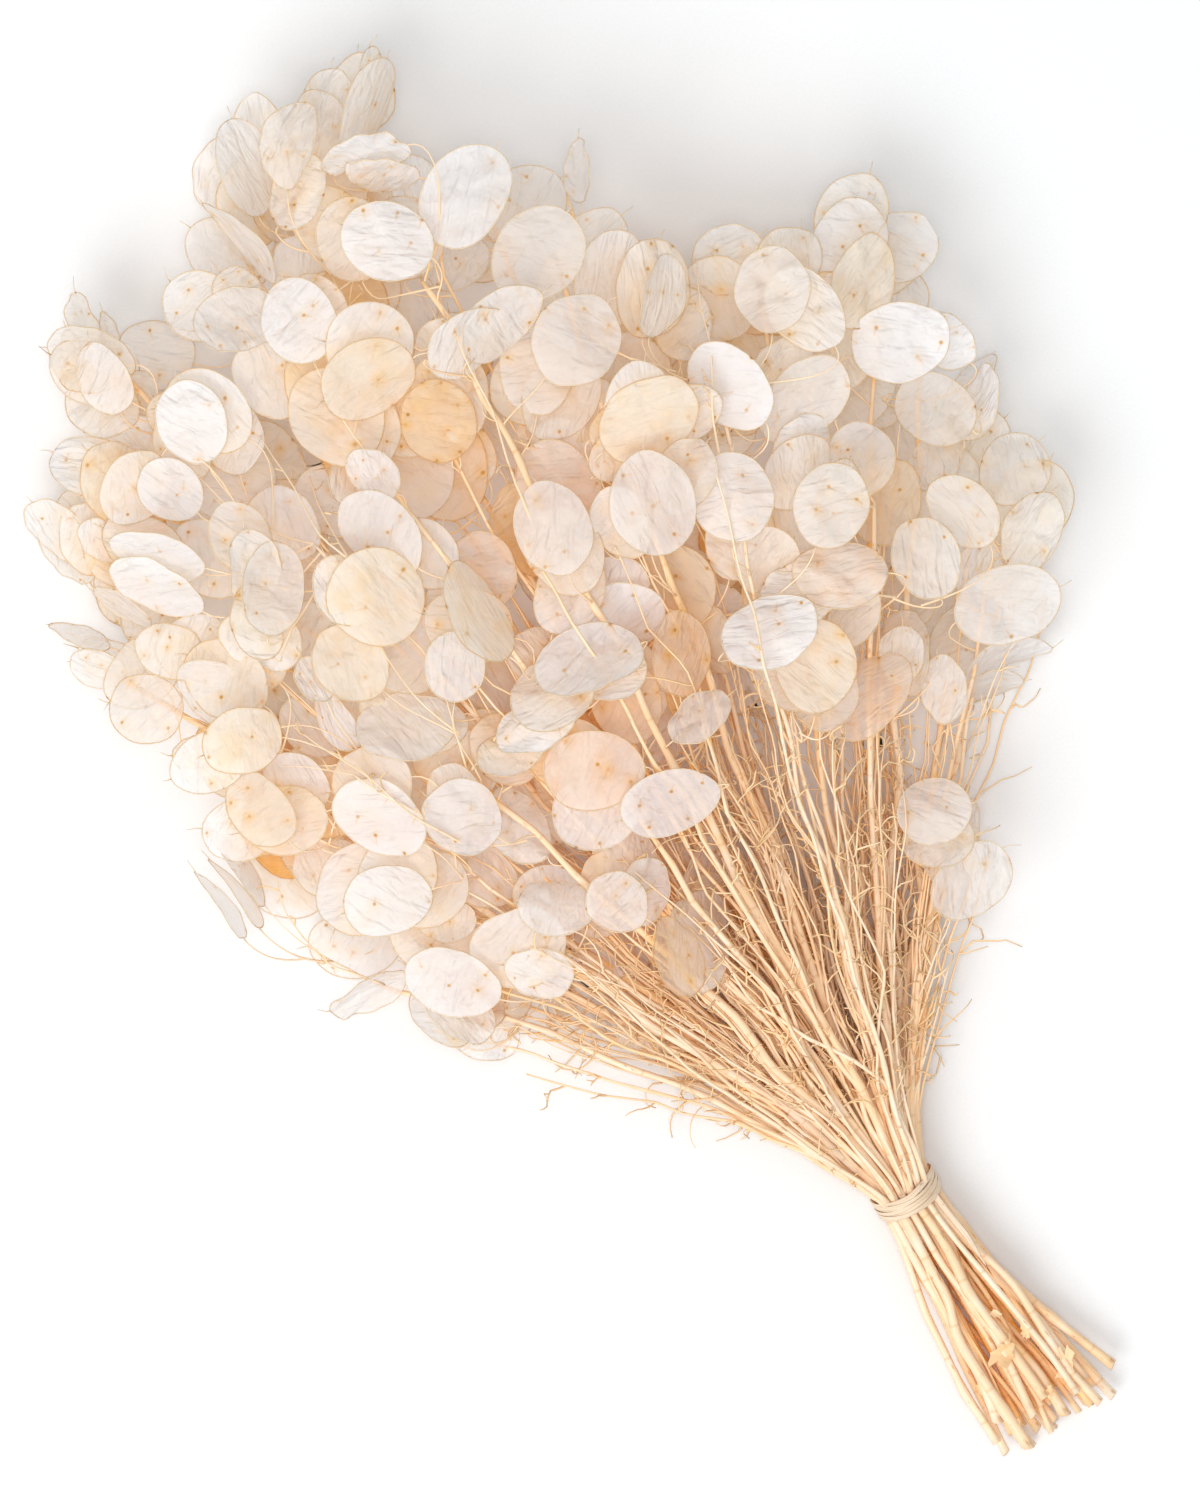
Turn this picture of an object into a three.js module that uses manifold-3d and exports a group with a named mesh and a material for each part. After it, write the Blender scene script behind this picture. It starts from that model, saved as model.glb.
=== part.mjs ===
// A raffia-tied bunch of dried honesty stems with their papery seed pods, lying down.
// Millimetres. +Y runs along the stems from cut ends to heads, +X to the right, +Z up.
import * as THREE from "three";
import Module from "manifold-3d";

const wasm = await Module();
wasm.setup();

// ---- driving sizes ----
const SEED = 1847;
const GAP = 0.3; // clear space kept between separate pieces
const STEM_PITCH = 3.75; // centre to centre of stems side by side inside the tie
const STEM_SIDES = 5;
const STEM_RADIUS_CUT = 1.95;
const STEM_RADIUS_WAIST = 1.65;
const STEM_RADIUS_TIP = 1.0;
const WAIST_X = 2; // the tie's centre, a little right of the line of the heads
const WAIST_HALF = 9; // the stems run straight this far each side of the tie's centre
const CUT_NEAR = -98; // shortest and longest cut end
const CUT_FAR = -117;
const CUT_SPREAD = 1.15; // how far the cut ends splay, as a share of the waist
const CUT_SHIFT = 5; // the cut ends lean to the right
const FAN_BEND = 1.22; // over 1: stems leave the tie straight and bend outward
const STEM_KNOTS = [36, 84, 150, 230, 315, 400]; // Y of the points every stem passes before its tip
const LAST_KNOT_ROOM = 30; // a knot nearer the tip than this is left out
const FIRST_SPOT_Y = 62; // no pod stalk starts nearer the tie
const SPOT_STEP = 7; // distance between places where a stalk may start
const POD_THICK = 0.8;
const POD_ROUNDNESS = 0.78; // usual width of a pod as a share of its length
const POD_BASE_HALF = 0.7; // half width of a pod where its stalk joins
const STALK_HALF = 0.6; // half side of a stalk
const STALK_ROOT_HALF = 0.4; // half side of the stalk's end sunk in the stem
const STALK_REACH = 0.95; // clear room kept round a stalk's middle line, bends included
const CLEAN_HEIGHT = 0.012; // a joint is redone if it leaves a triangle flatter than this
const ROOT_TWISTS = [0, 0.13, -0.13, 0.26, -0.26, 0.39, -0.39, 0.52, -0.52, 0.65, -0.65]; // turns of a root
const ROOT_SIZES = [1, 0.94, 1.05, 0.88, 1.1];
const STALK_LONGEST = 78;
const STALK_SHORTEST = 7;
const POD_COUNT = 198;
const TIE_WIDTH = 6.4;
const TIE_THICK = 0.9;
const TIE_SIDES = 22;
const TURN_WIDTH = 2.6; // the second turn of the raffia
const TURN_THICK = 0.6;
const TURN_SWAY = 0.9;
const TAIL_WIDTH = 2.8; // the loose end of the raffia, lying back over the stems
const TAIL_THICK = 0.7;
const TAIL_PATH = [[11.5, -4], [12.5, -14], [14.5, -27], [15, -41]]; // seen from above: [x, y]

// Height of the middle of the lowest and highest row of stems along the bunch: [y, z].
const BED = [[-120, 2.2], [-10, 5.25], [10, 5.25], [80, 7], [520, 9]];
const CREST = [
  [-120, 22], [-10, 24.75], [10, 24.75], [36, 33], [84, 49], [150, 72], [200, 88],
  [290, 104], [380, 98], [450, 74], [520, 48],
];
// Half the width of the head along the bunch, and how much lower its sides lie.
const HALF_WIDTH = [[0, 16], [50, 34], [100, 76], [150, 132], [200, 176], [260, 192], [340, 192], [400, 150], [460, 125], [520, 90]];
const SIDE_FALL = 0.62;
const LEAST_STACK = 25.5; // the rows never lie closer together than inside the tie

// Stem tips seen from above, one list per row from the floor up, left to right: [x, y].
const STEM_TIPS = [
  [[-118, 172], [-60, 330], [70, 330], [150, 190]],
  [[-150, 240], [-95, 300], [10, 400], [108, 262], [176, 236]],
  [[-164, 300], [-122, 395], [-42, 462], [58, 440], [142, 322], [186, 300]],
  [[-144, 186], [-172, 345], [-110, 452], [-10, 492], [86, 424], [184, 338], [86, 112]],
  [[-138, 270], [-148, 372], [-56, 444], [30, 484], [134, 348], [164, 206]],
  [[-100, 232], [-76, 352], [-14, 440], [66, 392], [132, 256]],
  [[-66, 236], [-36, 362], [16, 414], [100, 330]],
];

// Pods seen from above: [x, y, length, width seen, turn of the long axis in degrees, depth].
// Depth 0 lies on top, 1 just under, 2 deeper. A width seen edge-on is narrower than the pod.
const PODS = [
  [-22, 490, 40, 22, 75, 1], [-9, 497, 38, 22, 80, 2], [-1, 487, 35, 22, 53, 0], [12, 487, 34, 24, 75, 1],
  [32, 485, 44, 20, 40, 1], [5, 468, 34, 26, 95, 2], [24, 459, 30, 14, -35, 0], [-4, 452, 34, 28, 100, 1],
  [12, 434, 38, 31, -50, 0], [19, 433, 34, 32, 60, 2], [48, 434, 44, 34, 30, 0], [-55, 437, 36, 27, 165, 0],
  [-34, 424, 34, 30, 80, 0], [-66, 452, 30, 28, 110, 2], [-50, 448, 22, 20, 100, 2], [-39, 465, 42, 9, 98, 1],
  [-10, 422, 32, 25, 90, 2], [-55, 411, 34, 30, 100, 1], [93, 422, 26, 12, 62, 1], [61, 399, 42, 34, 25, 0],
  [68, 383, 36, 28, 40, 2], [-120, 437, 30, 26, 130, 1], [-113, 445, 30, 22, 85, 0], [-118, 459, 24, 10, 92, 1],
  [-104, 459, 22, 8, 75, 1], [-106, 432, 24, 16, 60, 2], [-98, 417, 24, 18, 100, 1], [-91, 411, 34, 28, 80, 0],
  [-80, 398, 30, 24, 70, 1], [-22, 390, 40, 30, 175, 0], [-40, 384, 42, 36, 100, 1], [-6, 362, 34, 30, 80, 1],
  [-15, 345, 42, 38, 90, 2], [-27, 352, 42, 36, 100, 1], [-39, 356, 24, 18, 110, 0], [8, 382, 34, 26, 70, 1],
  [35, 382, 38, 24, 15, 0], [57, 362, 38, 34, 20, 0], [38, 360, 36, 30, 60, 1], [-48, 334, 40, 28, 108, 0],
  [-62, 313, 40, 38, 100, 0], [-37, 319, 30, 26, 95, 1], [-20, 302, 32, 26, 90, 1], [2, 308, 38, 26, 80, 2],
  [12, 302, 38, 30, 80, 0], [23, 317, 38, 30, 110, 1], [27, 348, 24, 16, 60, 2], [45, 336, 28, 22, 50, 2],
  [51, 291, 42, 34, 70, 0], [94, 366, 40, 30, 50, 1], [95, 361, 34, 18, 45, 0], [98, 348, 30, 24, 60, 2],
  [66, 320, 42, 32, 5, 0], [101, 316, 40, 28, 105, 0], [120, 310, 36, 24, 20, 1], [124, 297, 42, 28, 15, 1],
  [135, 341, 34, 30, 60, 0], [147, 348, 30, 26, 40, 1], [149, 326, 32, 26, 30, 2], [172, 343, 38, 30, 30, 1],
  [168, 327, 40, 26, 35, 0], [188, 333, 36, 29, -20, 1], [170, 298, 40, 32, -15, 0], [186, 291, 30, 22, 110, 1],
  [143, 290, 42, 30, 10, 2], [-124, 398, 30, 22, 120, 1], [-112, 392, 28, 24, 110, 0], [-146, 389, 24, 16, 120, 1],
  [-133, 378, 36, 26, 125, 0], [-136, 361, 40, 20, 122, 0], [-153, 362, 28, 10, 118, 1], [-174, 361, 26, 10, 130, 1],
  [-174, 346, 24, 16, 140, 1], [-168, 347, 28, 18, 130, 2], [-165, 322, 30, 28, 140, 1], [-145, 337, 28, 22, 130, 1],
  [-140, 313, 34, 24, 95, 1], [-97, 361, 30, 24, 90, 0], [-96, 337, 38, 26, 55, 0], [-111, 322, 34, 26, 130, 1],
  [-80, 358, 34, 26, 100, 2], [-100, 298, 20, 14, 90, 1], [-84, 296, 34, 28, 110, 0], [-137, 291, 33, 26, 170, 0],
  [-156, 296, 20, 14, 150, 1], [-144, 264, 33, 25, 100, 0], [-165, 249, 38, 8, 95, 1], [-119, 207, 36, 28, 165, 0],
  [-132, 230, 32, 24, 150, 1], [-127, 266, 28, 22, 120, 1], [-105, 237, 40, 28, 120, 0], [-111, 283, 28, 22, 110, 2],
  [-101, 280, 28, 16, 95, 1], [-143, 246, 30, 22, 130, 2], [-145, 179, 34, 15, 175, 1], [-113, 166, 40, 28, 130, 0],
  [-117, 154, 32, 22, 110, 1], [-81, 152, 28, 20, 140, 0], [-49, 274, 28, 24, 60, 0], [-78, 263, 40, 28, 160, 0],
  [-76, 221, 32, 30, 120, 0], [-58, 207, 34, 24, 100, 1], [-68, 241, 36, 28, 130, 1], [-48, 236, 32, 26, 110, 1],
  [-25, 229, 28, 24, 100, 2], [-22, 211, 40, 32, 155, 0], [-30, 288, 44, 24, 95, 0], [-64, 291, 38, 34, 110, 1],
  [5, 278, 36, 28, 40, 1], [16, 257, 40, 30, 165, 1], [-2, 249, 44, 29, 170, 0], [-16, 257, 36, 26, 120, 2],
  [3, 229, 36, 28, 80, 1], [31, 234, 34, 24, 60, 1], [27, 220, 30, 20, 60, 2], [25, 208, 28, 18, 10, 0],
  [41, 257, 38, 34, 60, 2], [-2, 185, 40, 28, 170, 0], [-62, 172, 31, 22, 150, 0], [-63, 176, 30, 26, 120, 1],
  [-28, 174, 30, 24, 100, 1], [-40, 161, 26, 24, 120, 0], [-28, 159, 28, 20, 60, 1], [-49, 163, 26, 24, 130, 1],
  [-24, 192, 30, 24, 90, 1], [-30, 130, 34, 19, 85, 0], [80, 277, 36, 32, 60, 0], [66, 224, 40, 30, 175, 0],
  [102, 230, 38, 28, 150, 0], [112, 255, 34, 30, 40, 0], [121, 259, 22, 16, 70, 0], [108, 273, 34, 24, 20, 1],
  [132, 265, 30, 28, 60, 1], [133, 246, 36, 30, 50, 2], [135, 218, 34, 27, 80, 0], [157, 227, 34, 25, 100, 0],
  [160, 251, 28, 20, 30, 2], [169, 268, 34, 28, 120, 1], [186, 262, 32, 14, 40, 1], [185, 231, 30, 28, 20, 1],
  [178, 206, 34, 24, 35, 0], [153, 204, 24, 18, 20, 2], [155, 186, 44, 32, -10, 0], [88, 182, 42, 28, 10, 1],
  [75, 203, 38, 32, 60, 0], [98, 213, 30, 20, 30, 1], [108, 189, 24, 18, 60, 1], [79, 248, 30, 26, 60, 1],
  [75, 262, 34, 28, 45, 2], [116, 169, 28, 20, 70, 1], [131, 159, 32, 12, -5, 1], [88, 129, 30, 27, -20, 0],
  [87, 97, 37, 28, 15, 0], [-103, 190, 26, 20, 140, 1], [-82, 197, 30, 24, 120, 1],
];
// Pods pressed flat on the floor under the head: [x, y, turn].
const FLOOR_PODS = [[-104, 186, 130], [128, 196, 50], [4, 292, 80], [-58, 392, 110], [84, 352, 60], [-112, 300, 120], [140, 276, 40]];
const FLOOR_POD_LENGTH = 36;

const PLAIN = {
  dried_honesty: { color: "#e9d9bd", roughness: 0.6, metalness: 0 },
  raffia: { color: "#dcc59c", roughness: 0.7, metalness: 0 },
};

// ---- small helpers ----
const draw = () => THREE.MathUtils.seededRandom();
const between = (low, high) => low + (high - low) * draw();
const vector = (x, y, z) => new THREE.Vector3(x, y, z);

// Reads a value off a list of [place, value] pairs, straight between them.
function readOff(list, place) {
  const next = list.findIndex(([at]) => at >= place);
  if (next === 0) return list[0][1];
  if (next < 0) return list[list.length - 1][1];
  const [a, low] = list[next - 1];
  const [b, high] = list[next];
  return low + ((high - low) * (place - a)) / (b - a);
}

// Height of the middle of a row over a point of the floor. share: 0 the lowest row, 1 the highest.
function rowHeight(x, y, share) {
  const bed = readOff(BED, y);
  const off = Math.min(1, Math.abs(x - WAIST_X) / readOff(HALF_WIDTH, y));
  const fall = y > WAIST_HALF ? 1 - SIDE_FALL * off * off : 1;
  const stack = y > WAIST_HALF ? Math.max(LEAST_STACK, (readOff(CREST, y) - bed) * fall) : readOff(CREST, y) - bed;
  return bed + share * stack;
}

// ---- distances, used to keep every piece clear of the others ----
function segmentGap(a, b, c, d) {
  const u = b.clone().sub(a);
  const v = d.clone().sub(c);
  const w = a.clone().sub(c);
  const uu = u.dot(u);
  const vv = v.dot(v);
  const uv = u.dot(v);
  const uw = u.dot(w);
  const vw = v.dot(w);
  const under = uu * vv - uv * uv;
  let s = under > 1e-9 ? THREE.MathUtils.clamp((uv * vw - vv * uw) / under, 0, 1) : 0;
  const t = THREE.MathUtils.clamp((uv * s + vw) / vv, 0, 1);
  s = THREE.MathUtils.clamp((uv * t - uw) / uu, 0, 1);
  return w.addScaledVector(u, s).addScaledVector(v, -t).length();
}

function overPlate(point, plate) {
  return plate.outline.every((corner, i) => {
    const next = plate.outline[(i + 1) % plate.outline.length];
    const edge = next.clone().sub(corner);
    return edge.cross(point.clone().sub(corner)).dot(plate.normal) >= 0;
  });
}

function segmentPlateGap(a, b, plate) {
  const high = plate.normal.dot(a.clone().sub(plate.centre));
  const low = plate.normal.dot(b.clone().sub(plate.centre));
  if (high * low < 0 && overPlate(a.clone().lerp(b, high / (high - low)), plate)) return 0;
  let gap = overPlate(a, plate) ? Math.abs(high) : Infinity;
  gap = overPlate(b, plate) ? Math.min(gap, Math.abs(low)) : gap;
  plate.outline.forEach((corner, i) => {
    const next = plate.outline[(i + 1) % plate.outline.length];
    gap = Math.min(gap, segmentGap(a, b, corner, next));
  });
  return gap;
}

function plateGap(one, other) {
  let gap = Infinity;
  one.outline.forEach((corner, i) => {
    const next = one.outline[(i + 1) % one.outline.length];
    gap = Math.min(gap, segmentPlateGap(corner, next, other));
  });
  other.outline.forEach((corner, i) => {
    const next = other.outline[(i + 1) % other.outline.length];
    gap = Math.min(gap, segmentPlateGap(corner, next, one));
  });
  return gap;
}

const plates = [];
const rods = [];
const far = (one, other, more) => one.middle.distanceTo(other.middle) > one.reach + other.reach + more;

function rodBetween(a, b, radius, stem, tube) {
  const middle = a.clone().lerp(b, 0.5);
  return { a, b, radius, stem, tube, middle, reach: a.distanceTo(b) / 2 };
}

function plateIsClear(plate) {
  for (const rod of rods) {
    const need = POD_THICK / 2 + rod.radius + GAP;
    if (!far(plate, rod, need) && segmentPlateGap(rod.a, rod.b, plate) < need) return false;
  }
  const need = POD_THICK + GAP;
  return plates.every((other) => far(plate, other, need) || plateGap(plate, other) >= need);
}

function rodIsClear(rod, skippedTube, skippedPlate) {
  for (const other of rods) {
    const need = rod.radius + other.radius + GAP;
    if (other.tube === skippedTube || far(rod, other, need)) continue;
    if (segmentGap(rod.a, rod.b, other.a, other.b) < need) return false;
  }
  const need = POD_THICK / 2 + rod.radius + GAP;
  return plates.every((other) => {
    return other === skippedPlate || far(rod, other, need) || segmentPlateGap(rod.a, rod.b, other) >= need;
  });
}

// ---- the stems: rows stacked in the tie, each row a fan that never crosses another ----
function stemPath(row, place, tip) {
  const share = row / (STEM_TIPS.length - 1);
  const across = (place - (STEM_TIPS[row].length - 1) / 2) * STEM_PITCH;
  const cutY = between(CUT_NEAR, CUT_FAR);
  const path = [];
  for (const y of [cutY, cutY / 2, -WAIST_HALF, WAIST_HALF]) {
    const splay = Math.max(0, (-y - WAIST_HALF) / 100);
    const x = WAIST_X + across * (1 + CUT_SPREAD * splay) + CUT_SHIFT * splay;
    path.push(vector(x, y, rowHeight(x, y, share)));
  }
  const start = WAIST_X + across;
  for (const y of [...STEM_KNOTS.filter((knot) => knot < tip[1] - LAST_KNOT_ROOM), tip[1]]) {
    const t = (y - WAIST_HALF) / (tip[1] - WAIST_HALF);
    const x = start + (tip[0] - start) * Math.pow(t, FAN_BEND);
    path.push(vector(x, y, rowHeight(x, y, share)));
  }
  return path;
}

function stemRadius(point, tipY) {
  if (point.y < 0) {
    return THREE.MathUtils.mapLinear(point.y, CUT_FAR, -WAIST_HALF, STEM_RADIUS_CUT, STEM_RADIUS_WAIST);
  }
  return THREE.MathUtils.mapLinear(point.y, WAIST_HALF, tipY, STEM_RADIUS_WAIST, STEM_RADIUS_TIP);
}

function layStems() {
  const stems = [];
  STEM_TIPS.forEach((tips, row) => {
    tips.forEach((tip, place) => {
      const stem = { number: stems.length, path: stemPath(row, place, tip), pods: [] };
      stem.radii = stem.path.map((point) => stemRadius(point, tip[1]));
      for (let i = 0; i + 1 < stem.path.length; i++) {
        rods.push(rodBetween(stem.path[i], stem.path[i + 1], stem.radii[i], stem, stem));
      }
      stems.push(stem);
    });
  });
  return stems;
}

// Places along a stem where the stalk of a pod may start; the last is the stem's own tip.
function stemSpots(stem) {
  const spots = [];
  for (let i = 0; i + 1 < stem.path.length; i++) {
    const from = stem.path[i];
    const to = stem.path[i + 1];
    const steps = Math.floor(from.distanceTo(to) / SPOT_STEP);
    for (let k = 0; k < steps; k++) {
      const point = from.clone().lerp(to, (k + 0.5) / steps);
      if (point.y > FIRST_SPOT_Y) spots.push({ point, run: to.clone().sub(from).normalize(), stem, tube: stem });
    }
  }
  const end = spots[spots.length - 1];
  end.point = stem.path[stem.path.length - 1].clone().addScaledVector(end.run, -STEM_RADIUS_TIP);
  end.isTip = true;
  return spots;
}

// ---- the pods ----
// The corners of a pod go round from one side of its narrow base to the other.
const CORNER_TURNS = [42, 88, 134, 180, 226, 272, 318].map(THREE.MathUtils.degToRad);
const CORNER_SWELL = 1.05; // corners stand a little outside the oval so that the flat sides match its area

function podPlate(spec, z, side) {
  const turn = THREE.MathUtils.degToRad(spec.turn);
  const pitch = THREE.MathUtils.degToRad(spec.pitch);
  const along = vector(Math.cos(turn) * Math.cos(pitch), Math.sin(turn) * Math.cos(pitch), Math.sin(pitch));
  const across = vector(-Math.sin(turn), Math.cos(turn), 0).applyAxisAngle(along, side * spec.roll);
  const normal = along.clone().cross(across);
  const centre = vector(spec.x, spec.y, z);
  const place = (lengthwise, sideways) => {
    return centre.clone().addScaledVector(along, lengthwise).addScaledVector(across, sideways);
  };
  const outline = [place(-spec.long / 2, -POD_BASE_HALF)];
  for (const angle of CORNER_TURNS) {
    const lengthwise = -Math.cos(angle) * (spec.long / 2);
    outline.push(place(lengthwise, -Math.sin(angle) * (spec.wide / 2) * CORNER_SWELL));
  }
  outline.push(place(-spec.long / 2, POD_BASE_HALF));
  const reach = Math.max(spec.long, spec.wide * CORNER_SWELL) / 2;
  return { centre, middle: centre, along, across, normal, outline, reach, base: place(-spec.long / 2, 0) };
}

// A stalk leaves its spot and arrives at the pod in line with the pod's long axis.
function stalkPath(spot, plate) {
  const chord = spot.point.distanceTo(plate.base);
  const elbow = plate.base.clone().addScaledVector(plate.along, -0.42 * chord);
  const curve = new THREE.QuadraticBezierCurve3(spot.point, elbow, plate.base);
  const steps = chord > 34 ? [0, 0.3, 0.64, 1] : [0, 0.42, 1];
  return steps.map((t) => curve.getPoint(t));
}

function stalkFits(spot, plate, path) {
  const leave = path[1].clone().sub(path[0]).normalize().dot(spot.run);
  if (leave < (spot.isTip ? 0.4 : 0.2) || (leave > 0.97 && !spot.isTip)) return false;
  for (let i = 0; i + 1 < path.length; i++) {
    const last = i + 2 === path.length;
    if (!last && path[i + 1].z < STALK_HALF + 0.3) return false;
    const rod = rodBetween(path[i], path[i + 1], STALK_REACH, spot.stem, path);
    if (!rodIsClear(rod, i === 0 ? spot.tube : null, null)) return false;
    const need = POD_THICK / 2 + STALK_HALF + GAP;
    if (!last && segmentPlateGap(rod.a, rod.b, plate) < need) return false;
    if (last && spot.tube !== path && i > 0 && path[i].distanceTo(spot.point) < need) return false;
  }
  return true;
}

// The spots worth trying for a plate, best first: near, upstream, and free stem tips before others.
function rankedSpots(spots, plate) {
  const ranked = [];
  for (const spot of spots) {
    if (spot.taken) continue;
    const chord = plate.base.clone().sub(spot.point);
    const length = chord.length();
    if (length < STALK_SHORTEST || length > STALK_LONGEST) continue;
    const follow = chord.dot(spot.run) / length;
    if (follow < 0.1) continue;
    const bonus = spot.isTip ? 18 : 0;
    ranked.push({ spot, cost: length * (1.7 - 0.7 * follow) - bonus + spot.stem.pods.length * 1.2 });
  }
  return ranked.sort((one, other) => one.cost - other.cost).slice(0, 60);
}

function fitPod(spec, spots) {
  for (const lift of spec.lifts) {
    for (const side of [1, -1]) {
      const plate = podPlate(spec, spec.z + lift, side);
      if (!spec.onFloor && plate.outline.some((corner) => corner.z < POD_THICK / 2 + 0.1)) continue;
      if (!plateIsClear(plate)) continue;
      for (const { spot } of rankedSpots(spots, plate)) {
        const path = stalkPath(spot, plate);
        if (stalkFits(spot, plate, path)) return { plate, path, spot };
      }
    }
  }
  return null;
}

function addPod(spec, spots) {
  const found = fitPod(spec, spots);
  if (!found) return false;
  const { plate, path, spot } = found;
  spot.taken = true;
  spot.stem.pods.push(found);
  plates.push(plate);
  for (let i = 0; i + 1 < path.length; i++) {
    rods.push(rodBetween(path[i], path[i + 1], STALK_REACH, spot.stem, path));
  }
  const chord = path[0].distanceTo(plate.base);
  if (chord > 16) {
    const run = path[2].clone().sub(path[0]).normalize();
    const point = path[0].clone().lerp(path[1], 0.8);
    spots.push({ point, run, stem: spot.stem, tube: path, thin: true });
  }
  return true;
}

// The long axis points away from the tie, so the stalk comes from the stems.
function outward(x, y, turn) {
  const radial = Math.atan2(y, x - WAIST_X);
  return Math.cos(THREE.MathUtils.degToRad(turn) - radial) < 0 ? turn + 180 : turn;
}

function seenPod([x, y, long, seen, turn, depth]) {
  const wide = Math.max(seen, POD_ROUNDNESS * long);
  const tilt = Math.acos(Math.min(1, seen / wide));
  const roll = (tilt + between(0, 0.16)) * (draw() < 0.5 ? -1 : 1);
  const z = rowHeight(x, y, 1) + [between(7, 17), -5, -19][depth];
  const up = [0, 3, 6, -3, 10, -6, 14, -10, -15, -20];
  const down = [0, -3, 3, -6, 6, -10, -15, 10, -21, -28, -36, -45, -55];
  return { x, y, long, wide, turn: outward(x, y, turn), pitch: between(-9, 12), roll, z, lifts: depth ? down : up };
}

function floorPod([x, y, turn]) {
  const wide = POD_ROUNDNESS * FLOOR_POD_LENGTH;
  return { x, y, long: FLOOR_POD_LENGTH, wide, turn, pitch: 0, roll: 0, z: POD_THICK / 2, lifts: [0], onFloor: true };
}

// A pod hidden under one of the seen ones, moved a little towards the middle of the head.
function hiddenPod(anchor) {
  const inward = between(0, 0.16);
  const x = anchor[0] * (1 - inward) + between(-9, 9);
  const y = anchor[1] + (285 - anchor[1]) * inward + between(-9, 9);
  const long = between(33, 41);
  const radial = THREE.MathUtils.radToDeg(Math.atan2(y, x - WAIST_X));
  const z = between(5, Math.max(8, rowHeight(x, y, 1) - 12));
  const turn = radial + between(-60, 60);
  const lifts = [0, 5, -5, 10, -10, 16, -16];
  return { x, y, long, wide: long * between(0.74, 0.86), turn, pitch: between(-25, 25), roll: between(-0.9, 0.9), z, lifts };
}

function growPods(stems) {
  const spots = stems.flatMap(stemSpots);
  let missed = 0;
  let count = 0;
  const grow = (spec) => (addPod(spec, spots) ? count++ : missed++);
  FLOOR_PODS.forEach((entry) => grow(floorPod(entry)));
  for (const depth of [0, 1, 2]) {
    PODS.filter((entry) => entry[5] === depth).forEach((entry) => grow(seenPod(entry)));
  }
  for (let tries = 0; count < POD_COUNT && tries < 1500; tries++) {
    grow(hiddenPod(PODS[Math.floor(draw() * PODS.length)]));
  }
}

// ---- solids ----
function signedVolume(points, faces) {
  return faces.reduce((sum, [a, b, c]) => sum + points[a].clone().cross(points[b]).dot(points[c]), 0);
}

function solidFrom(points, faces) {
  const turned = signedVolume(points, faces) < 0 ? faces.map(([a, b, c]) => [a, c, b]) : faces;
  const vertProperties = new Float32Array(points.flatMap((point) => point.toArray()));
  const triVerts = new Uint32Array(turned.flat());
  return new wasm.Manifold(new wasm.Mesh({ numProp: 3, vertProperties, triVerts }));
}

// Joins rings of equal count into one skin; closed rings of a loop need no caps.
function skinFaces(ringCount, sides, firstRing = 0, loop = false) {
  const faces = [];
  const spans = loop ? ringCount : ringCount - 1;
  for (let r = 0; r < spans; r++) {
    const low = firstRing + r * sides;
    const high = firstRing + ((r + 1) % ringCount) * sides;
    for (let s = 0; s < sides; s++) {
      const next = (s + 1) % sides;
      faces.push([low + s, low + next, high + next], [low + s, high + next, high + s]);
    }
  }
  return faces;
}

function fanFaces(indices) {
  return indices.slice(1, -1).map((index, i) => [indices[0], index, indices[i + 2]]);
}

// How many triangles of a solid are thinner than a clean joint leaves.
function sliverCount(solid) {
  const mesh = solid.getMesh();
  const corner = (i) => new THREE.Vector3().fromArray(mesh.vertProperties, 3 * mesh.triVerts[i]);
  let count = 0;
  for (let i = 0; i < mesh.triVerts.length; i += 3) {
    const { a, b, c } = new THREE.Triangle(corner(i), corner(i + 1), corner(i + 2));
    const longest = Math.max(a.distanceTo(b), b.distanceTo(c), c.distanceTo(a));
    const height = b.sub(a).cross(c.sub(a)).length() / longest;
    if (height < CLEAN_HEIGHT) count++;
  }
  return count;
}

// Fuses a new piece on, turning or resizing its root a little until no sliver is left at the joint.
function joinCleanly(base, makePiece) {
  let best = null;
  for (const size of ROOT_SIZES) {
    for (const twist of ROOT_TWISTS) {
      const solid = base.solid.add(makePiece(twist, size));
      const slivers = sliverCount(solid);
      if (!best || slivers < best.slivers) best = { solid, slivers };
      if (slivers <= base.slivers) return best;
    }
  }
  return best;
}

function stemSolid(stem) {
  const points = [];
  stem.path.forEach((point, i) => {
    const ahead = stem.path[Math.min(i + 1, stem.path.length - 1)];
    const behind = stem.path[Math.max(i - 1, 0)];
    const run = ahead.clone().sub(behind).normalize();
    const side = run.clone().cross(vector(0, 0, 1)).normalize();
    const up = side.clone().cross(run);
    for (let s = 0; s < STEM_SIDES; s++) {
      const angle = ((s + 0.25) / STEM_SIDES) * 2 * Math.PI;
      const reach = stem.radii[i];
      points.push(point.clone().addScaledVector(side, reach * Math.cos(angle)).addScaledVector(up, reach * Math.sin(angle)));
    }
  });
  const rings = stem.path.length;
  const firstCap = [...Array(STEM_SIDES).keys()];
  const lastCap = firstCap.map((i) => i + (rings - 1) * STEM_SIDES);
  const faces = skinFaces(rings, STEM_SIDES);
  faces.push(...fanFaces(firstCap).map(([a, b, c]) => [a, c, b]));
  faces.push(...fanFaces(lastCap));
  return solidFrom(points, faces);
}

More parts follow.
